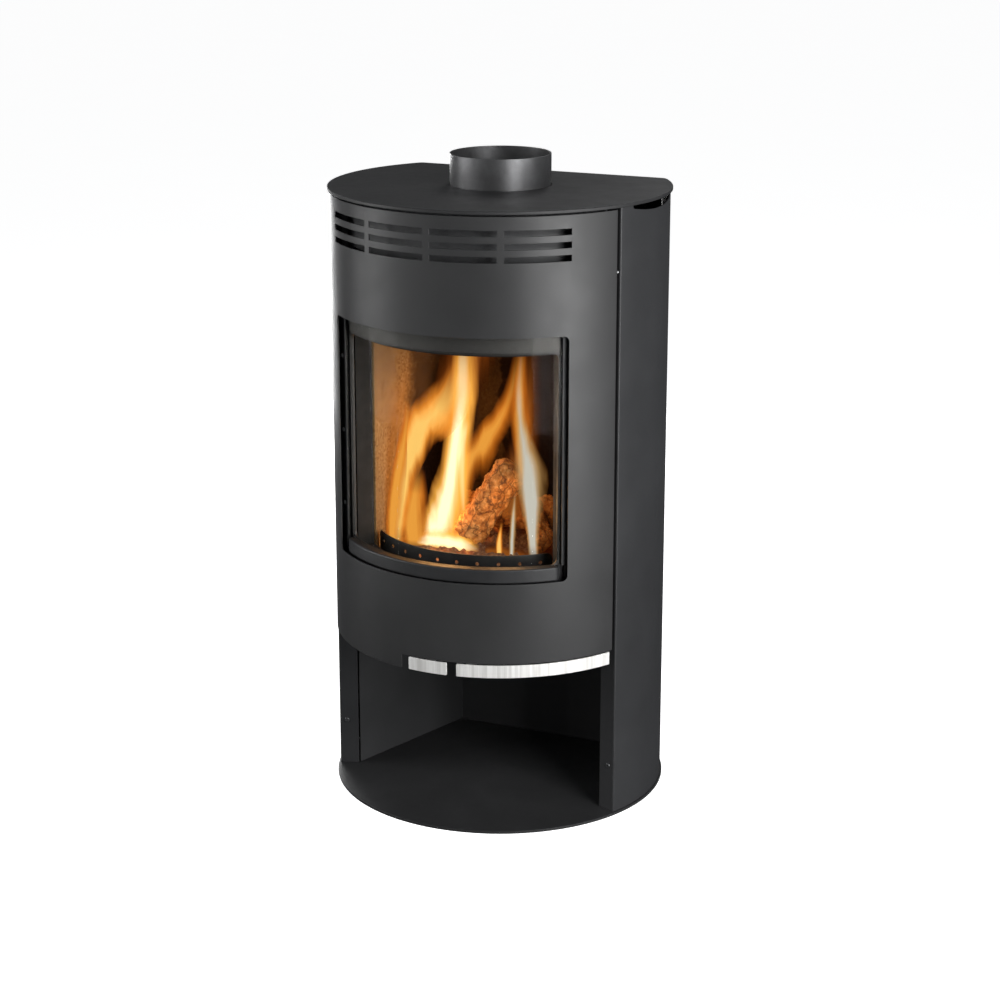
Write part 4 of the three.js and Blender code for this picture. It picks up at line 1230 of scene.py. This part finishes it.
def build_flames():
    orange = (0.95, 0.30, 0.035)
    rust = (0.50, 0.10, 0.008)
    bright = flame("flame_bright", (1.0, 0.88, 0.52), (1.0, 0.47, 0.075), orange, 1.55)
    warm = flame("flame_warm", (1.0, 0.60, 0.15), (1.0, 0.33, 0.035), rust, 1.1)
    amber = flame("flame_amber", (1.0, 0.42, 0.06), (0.75, 0.20, 0.015), rust, 0.9)
    pale = flame("flame_pale", (0.86, 0.84, 0.74), (0.85, 0.52, 0.20), (0.62, 0.22, 0.03), 0.72)
    dim = flame("flame_dim", (0.30, 0.085, 0.012), (0.17, 0.04, 0.005), (0.06, 0.012, 0.002), 0.9)
    flames = [
        ("flame_main", bright, 0.28, [
            (-80, -60, 372, 52), (-68, -60, 410, 44), (-57, -60, 450, 36), (-50, -58, 495, 31),
            (-44, -56, 545, 28), (-38, -55, 600, 27), (-33, -54, 655, 23), (-30, -52, 712, 15)]),
        ("flame_arch", warm, 0.28, [
            (-120, -112, 384, 15), (-114, -112, 440, 17), (-106, -112, 490, 20), (-94, -112, 530, 25),
            (-75, -112, 566, 33), (-50, -110, 598, 38), (-28, -106, 630, 31), (-14, -102, 672, 18)]),
        ("flame_foot", amber, 0.28, [
            (-92, -104, 384, 27), (-94, -104, 420, 27), (-91, -104, 458, 23), (-85, -104, 505, 12)]),
        ("flame_left", amber, 0.28, [
            (-126, -116, 382, 12), (-122, -116, 430, 14), (-116, -116, 480, 14), (-106, -116, 530, 13),
            (-99, -116, 575, 10), (-98, -116, 610, 5)]),
        ("flame_sweep", amber, 0.28, [
            (-60, -50, 400, 30), (-52, -50, 450, 34), (-34, -50, 496, 34), (-6, -50, 536, 27),
            (25, -50, 580, 20), (44, -50, 630, 15), (56, -50, 690, 10)]),
        ("flame_veil", dim, 0.2, [
            (30, -30, 420, 30), (40, -30, 480, 36), (56, -30, 540, 30), (62, -30, 610, 24),
            (64, -30, 700, 16)]),
        ("flame_right", pale, 0.28, [
            (101, -100, 384, 9), (99, -100, 420, 12), (97, -100, 455, 20), (95, -100, 490, 28),
            (93, -100, 522, 31), (86, -100, 554, 22), (79, -100, 590, 11), (76, -100, 640, 9),
            (80, -100, 700, 6)]),
        ("flame_low", bright, 0.5, [
            (-92, -96, 388, 10), (-68, -97, 393, 17), (-42, -98, 395, 20), (-12, -98, 392, 16),
            (12, -98, 388, 8)]),
        ("flame_low_right", dim, 0.6, [
            (20, -92, 384, 10), (44, -94, 388, 14), (74, -94, 388, 14), (98, -92, 384, 9)]),
        ("flame_right_top", amber, 0.28, [
            (78, -86, 500, 8), (74, -86, 540, 14), (72, -86, 590, 17), (73, -86, 640, 13),
            (76, -86, 700, 8)]),
        ("flame_thin_one", pale, 0.28, [
            (66, -104, 382, 5), (67, -104, 412, 7), (68, -102, 446, 6), (70, -100, 486, 3)]),
        ("flame_thin_two", warm, 0.28, [
            (46, -104, 382, 5), (46, -104, 404, 6), (49, -102, 436, 3)]),
        ("flame_back_left", dim, 0.16, [
            (-92, 20, 520, 24), (-86, 20, 570, 36), (-72, 22, 620, 44), (-56, 24, 670, 44),
            (-40, 26, 722, 36)]),
    ]
    for name, material, flat, stations in flames:
        tongue(name, stations, material, flat)


# ---- Studio, metres and degrees ----

CAMERA = Dims(azimuth=24.19, pitch=14.85, distance=3.3161, height=1.4259, lens=81.52, shift=-0.07)


def aim_at(obj, direction):
    obj.rotation_euler = direction.to_track_quat("-Z", "Y").to_euler()


def add_lamp(name, kind, power, place):
    data = bpy.data.lights.new(name, kind)
    data.energy = power
    lamp = new_object(name, data)
    lamp.location = place
    return lamp


def build_camera():
    azimuth = math.radians(CAMERA.azimuth)
    pitch = math.radians(CAMERA.pitch)
    data = bpy.data.cameras.new("camera")
    data.lens = CAMERA.lens
    data.sensor_width = 36.0
    data.shift_y = CAMERA.shift
    camera = new_object("camera", data)
    camera.location = (*polar(CAMERA.distance, CAMERA.azimuth), CAMERA.height)
    level = math.cos(pitch)
    look = Vector((-math.sin(azimuth) * level, math.cos(azimuth) * level, -math.sin(pitch)))
    aim_at(camera, look)
    bpy.context.scene.camera = camera


def softbox(name, azimuth, distance, height, width, tall, power, aim):
    """A rectangular lamp round the stove, turned towards a height on its axis."""
    lamp = add_lamp(name, "AREA", power, (*polar(distance, azimuth), height))
    lamp.data.shape = "RECTANGLE"
    lamp.data.size = width
    lamp.data.size_y = tall
    aim_at(lamp, Vector((0, 0, aim)) - lamp.location)


def fire_lamp(name, place, radius, power, colour):
    lamp = add_lamp(name, "POINT", power, place)
    lamp.data.color = colour
    lamp.data.shadow_soft_size = radius


def build_floor():
    mesh = bpy.data.meshes.new("floor")
    side = 60.0
    corners = [(-side, -side, 0), (side, -side, 0), (side, side, 0), (-side, side, 0)]
    mesh.from_pydata(corners, [], [(0, 1, 2, 3)])
    floor = new_object("floor", mesh)
    s = Surface("floor")
    tone = s.varied(0.86, 0.9, 3.0, 2.0)
    colour = s.add("CombineColor", {"Red": tone, "Green": tone, "Blue": tone}).outputs["Color"]
    mesh.materials.append(s.principled(colour, 0.9, [], {
        "Specular IOR Level": 0.1, "Emission Color": (1, 1, 1, 1), "Emission Strength": 0.92}))
    floor.visible_glossy = False
    floor.visible_diffuse = False


def build_lights():
    # Name, azimuth, distance, height, width, tall, power, height it is aimed at.
    for name, *settings in (
        ("right", 57, 2.1, 1.25, 0.83, 2.3, 54, 1.25),
        ("right_low", 72, 2.1, 0.35, 0.9, 0.6, 15, 0.35),
        ("right_rear", 89, 2.1, 1.25, 0.6, 2.3, 8, 1.25),
        ("left", -64, 2.1, 1.25, 0.95, 2.3, 29, 1.25),
        ("left_rear", -125, 2.1, 1.0, 0.7, 1.9, 9, 1.0),
        ("front", -30, 2.1, 1.25, 0.6, 2.3, 4, 1.25),
        ("top_left", -90, 1.6, 2.9, 1.6, 1.6, 2, 0.5),
        ("back", 180, 2.0, 2.4, 1.4, 1.0, 9, 0.6),
        ("low_rear", -142, 2.4, 0.45, 1.2, 0.85, 30, 0.45),
        ("rim_-76", -76, 2.05, 1.0, 0.022, 2.6, 2.6, 1.0),
        ("rim_-50", -50, 2.05, 1.0, 0.022, 2.6, 2.6, 1.0),
        ("rim_46", 46, 2.05, 1.0, 0.022, 2.6, 2.6, 1.0),
    ):
        softbox(f"softbox_{name}", *settings)
    fire_lamp("fire_high", (-0.04, -0.04, 0.56), 0.06, 0.9, (1.0, 0.50, 0.18))
    fire_lamp("fire_low", (-0.05, -0.10, 0.44), 0.04, 0.5, (1.0, 0.48, 0.16))
    fire_lamp("fire_right", (0.07, -0.13, 0.46), 0.03, 0.18, (1.0, 0.55, 0.22))


def build_world():
    """White behind the stove, a weak cool light on it."""
    world = bpy.data.worlds.new("world")
    world.use_nodes = True
    tree = world.node_tree
    tree.nodes.clear()
    blend = tree.nodes.new("ShaderNodeMixShader")
    output = tree.nodes.new("ShaderNodeOutputWorld")
    for slot, colour, strength in ((1, (0.92, 0.95, 1.0, 1.0), 0.065), (2, (1.0, 1.0, 1.0, 1.0), 1.0)):
        background = tree.nodes.new("ShaderNodeBackground")
        background.inputs["Color"].default_value = colour
        background.inputs["Strength"].default_value = strength
        tree.links.new(background.outputs[0], blend.inputs[slot])
    tree.links.new(tree.nodes.new("ShaderNodeLightPath").outputs["Is Camera Ray"], blend.inputs[0])
    tree.links.new(blend.outputs[0], output.inputs["Surface"])
    bpy.context.scene.world = world
    bpy.context.scene.view_settings.view_transform = "Standard"
    bpy.context.scene.cycles.transparent_max_bounces = 32


# ---- The stove ----

build_plates()
build_side_panels()
build_rear_panel()
build_wood_store()
build_spigot()
build_door_skin()
build_door_frame()
build_glass()
build_clamps()
build_strips()
build_screws()
build_bricks()
build_guard()
refine_nodes()
build_logs()
build_coals()
build_flames()
build_camera()
build_floor()
build_lights()
build_world()
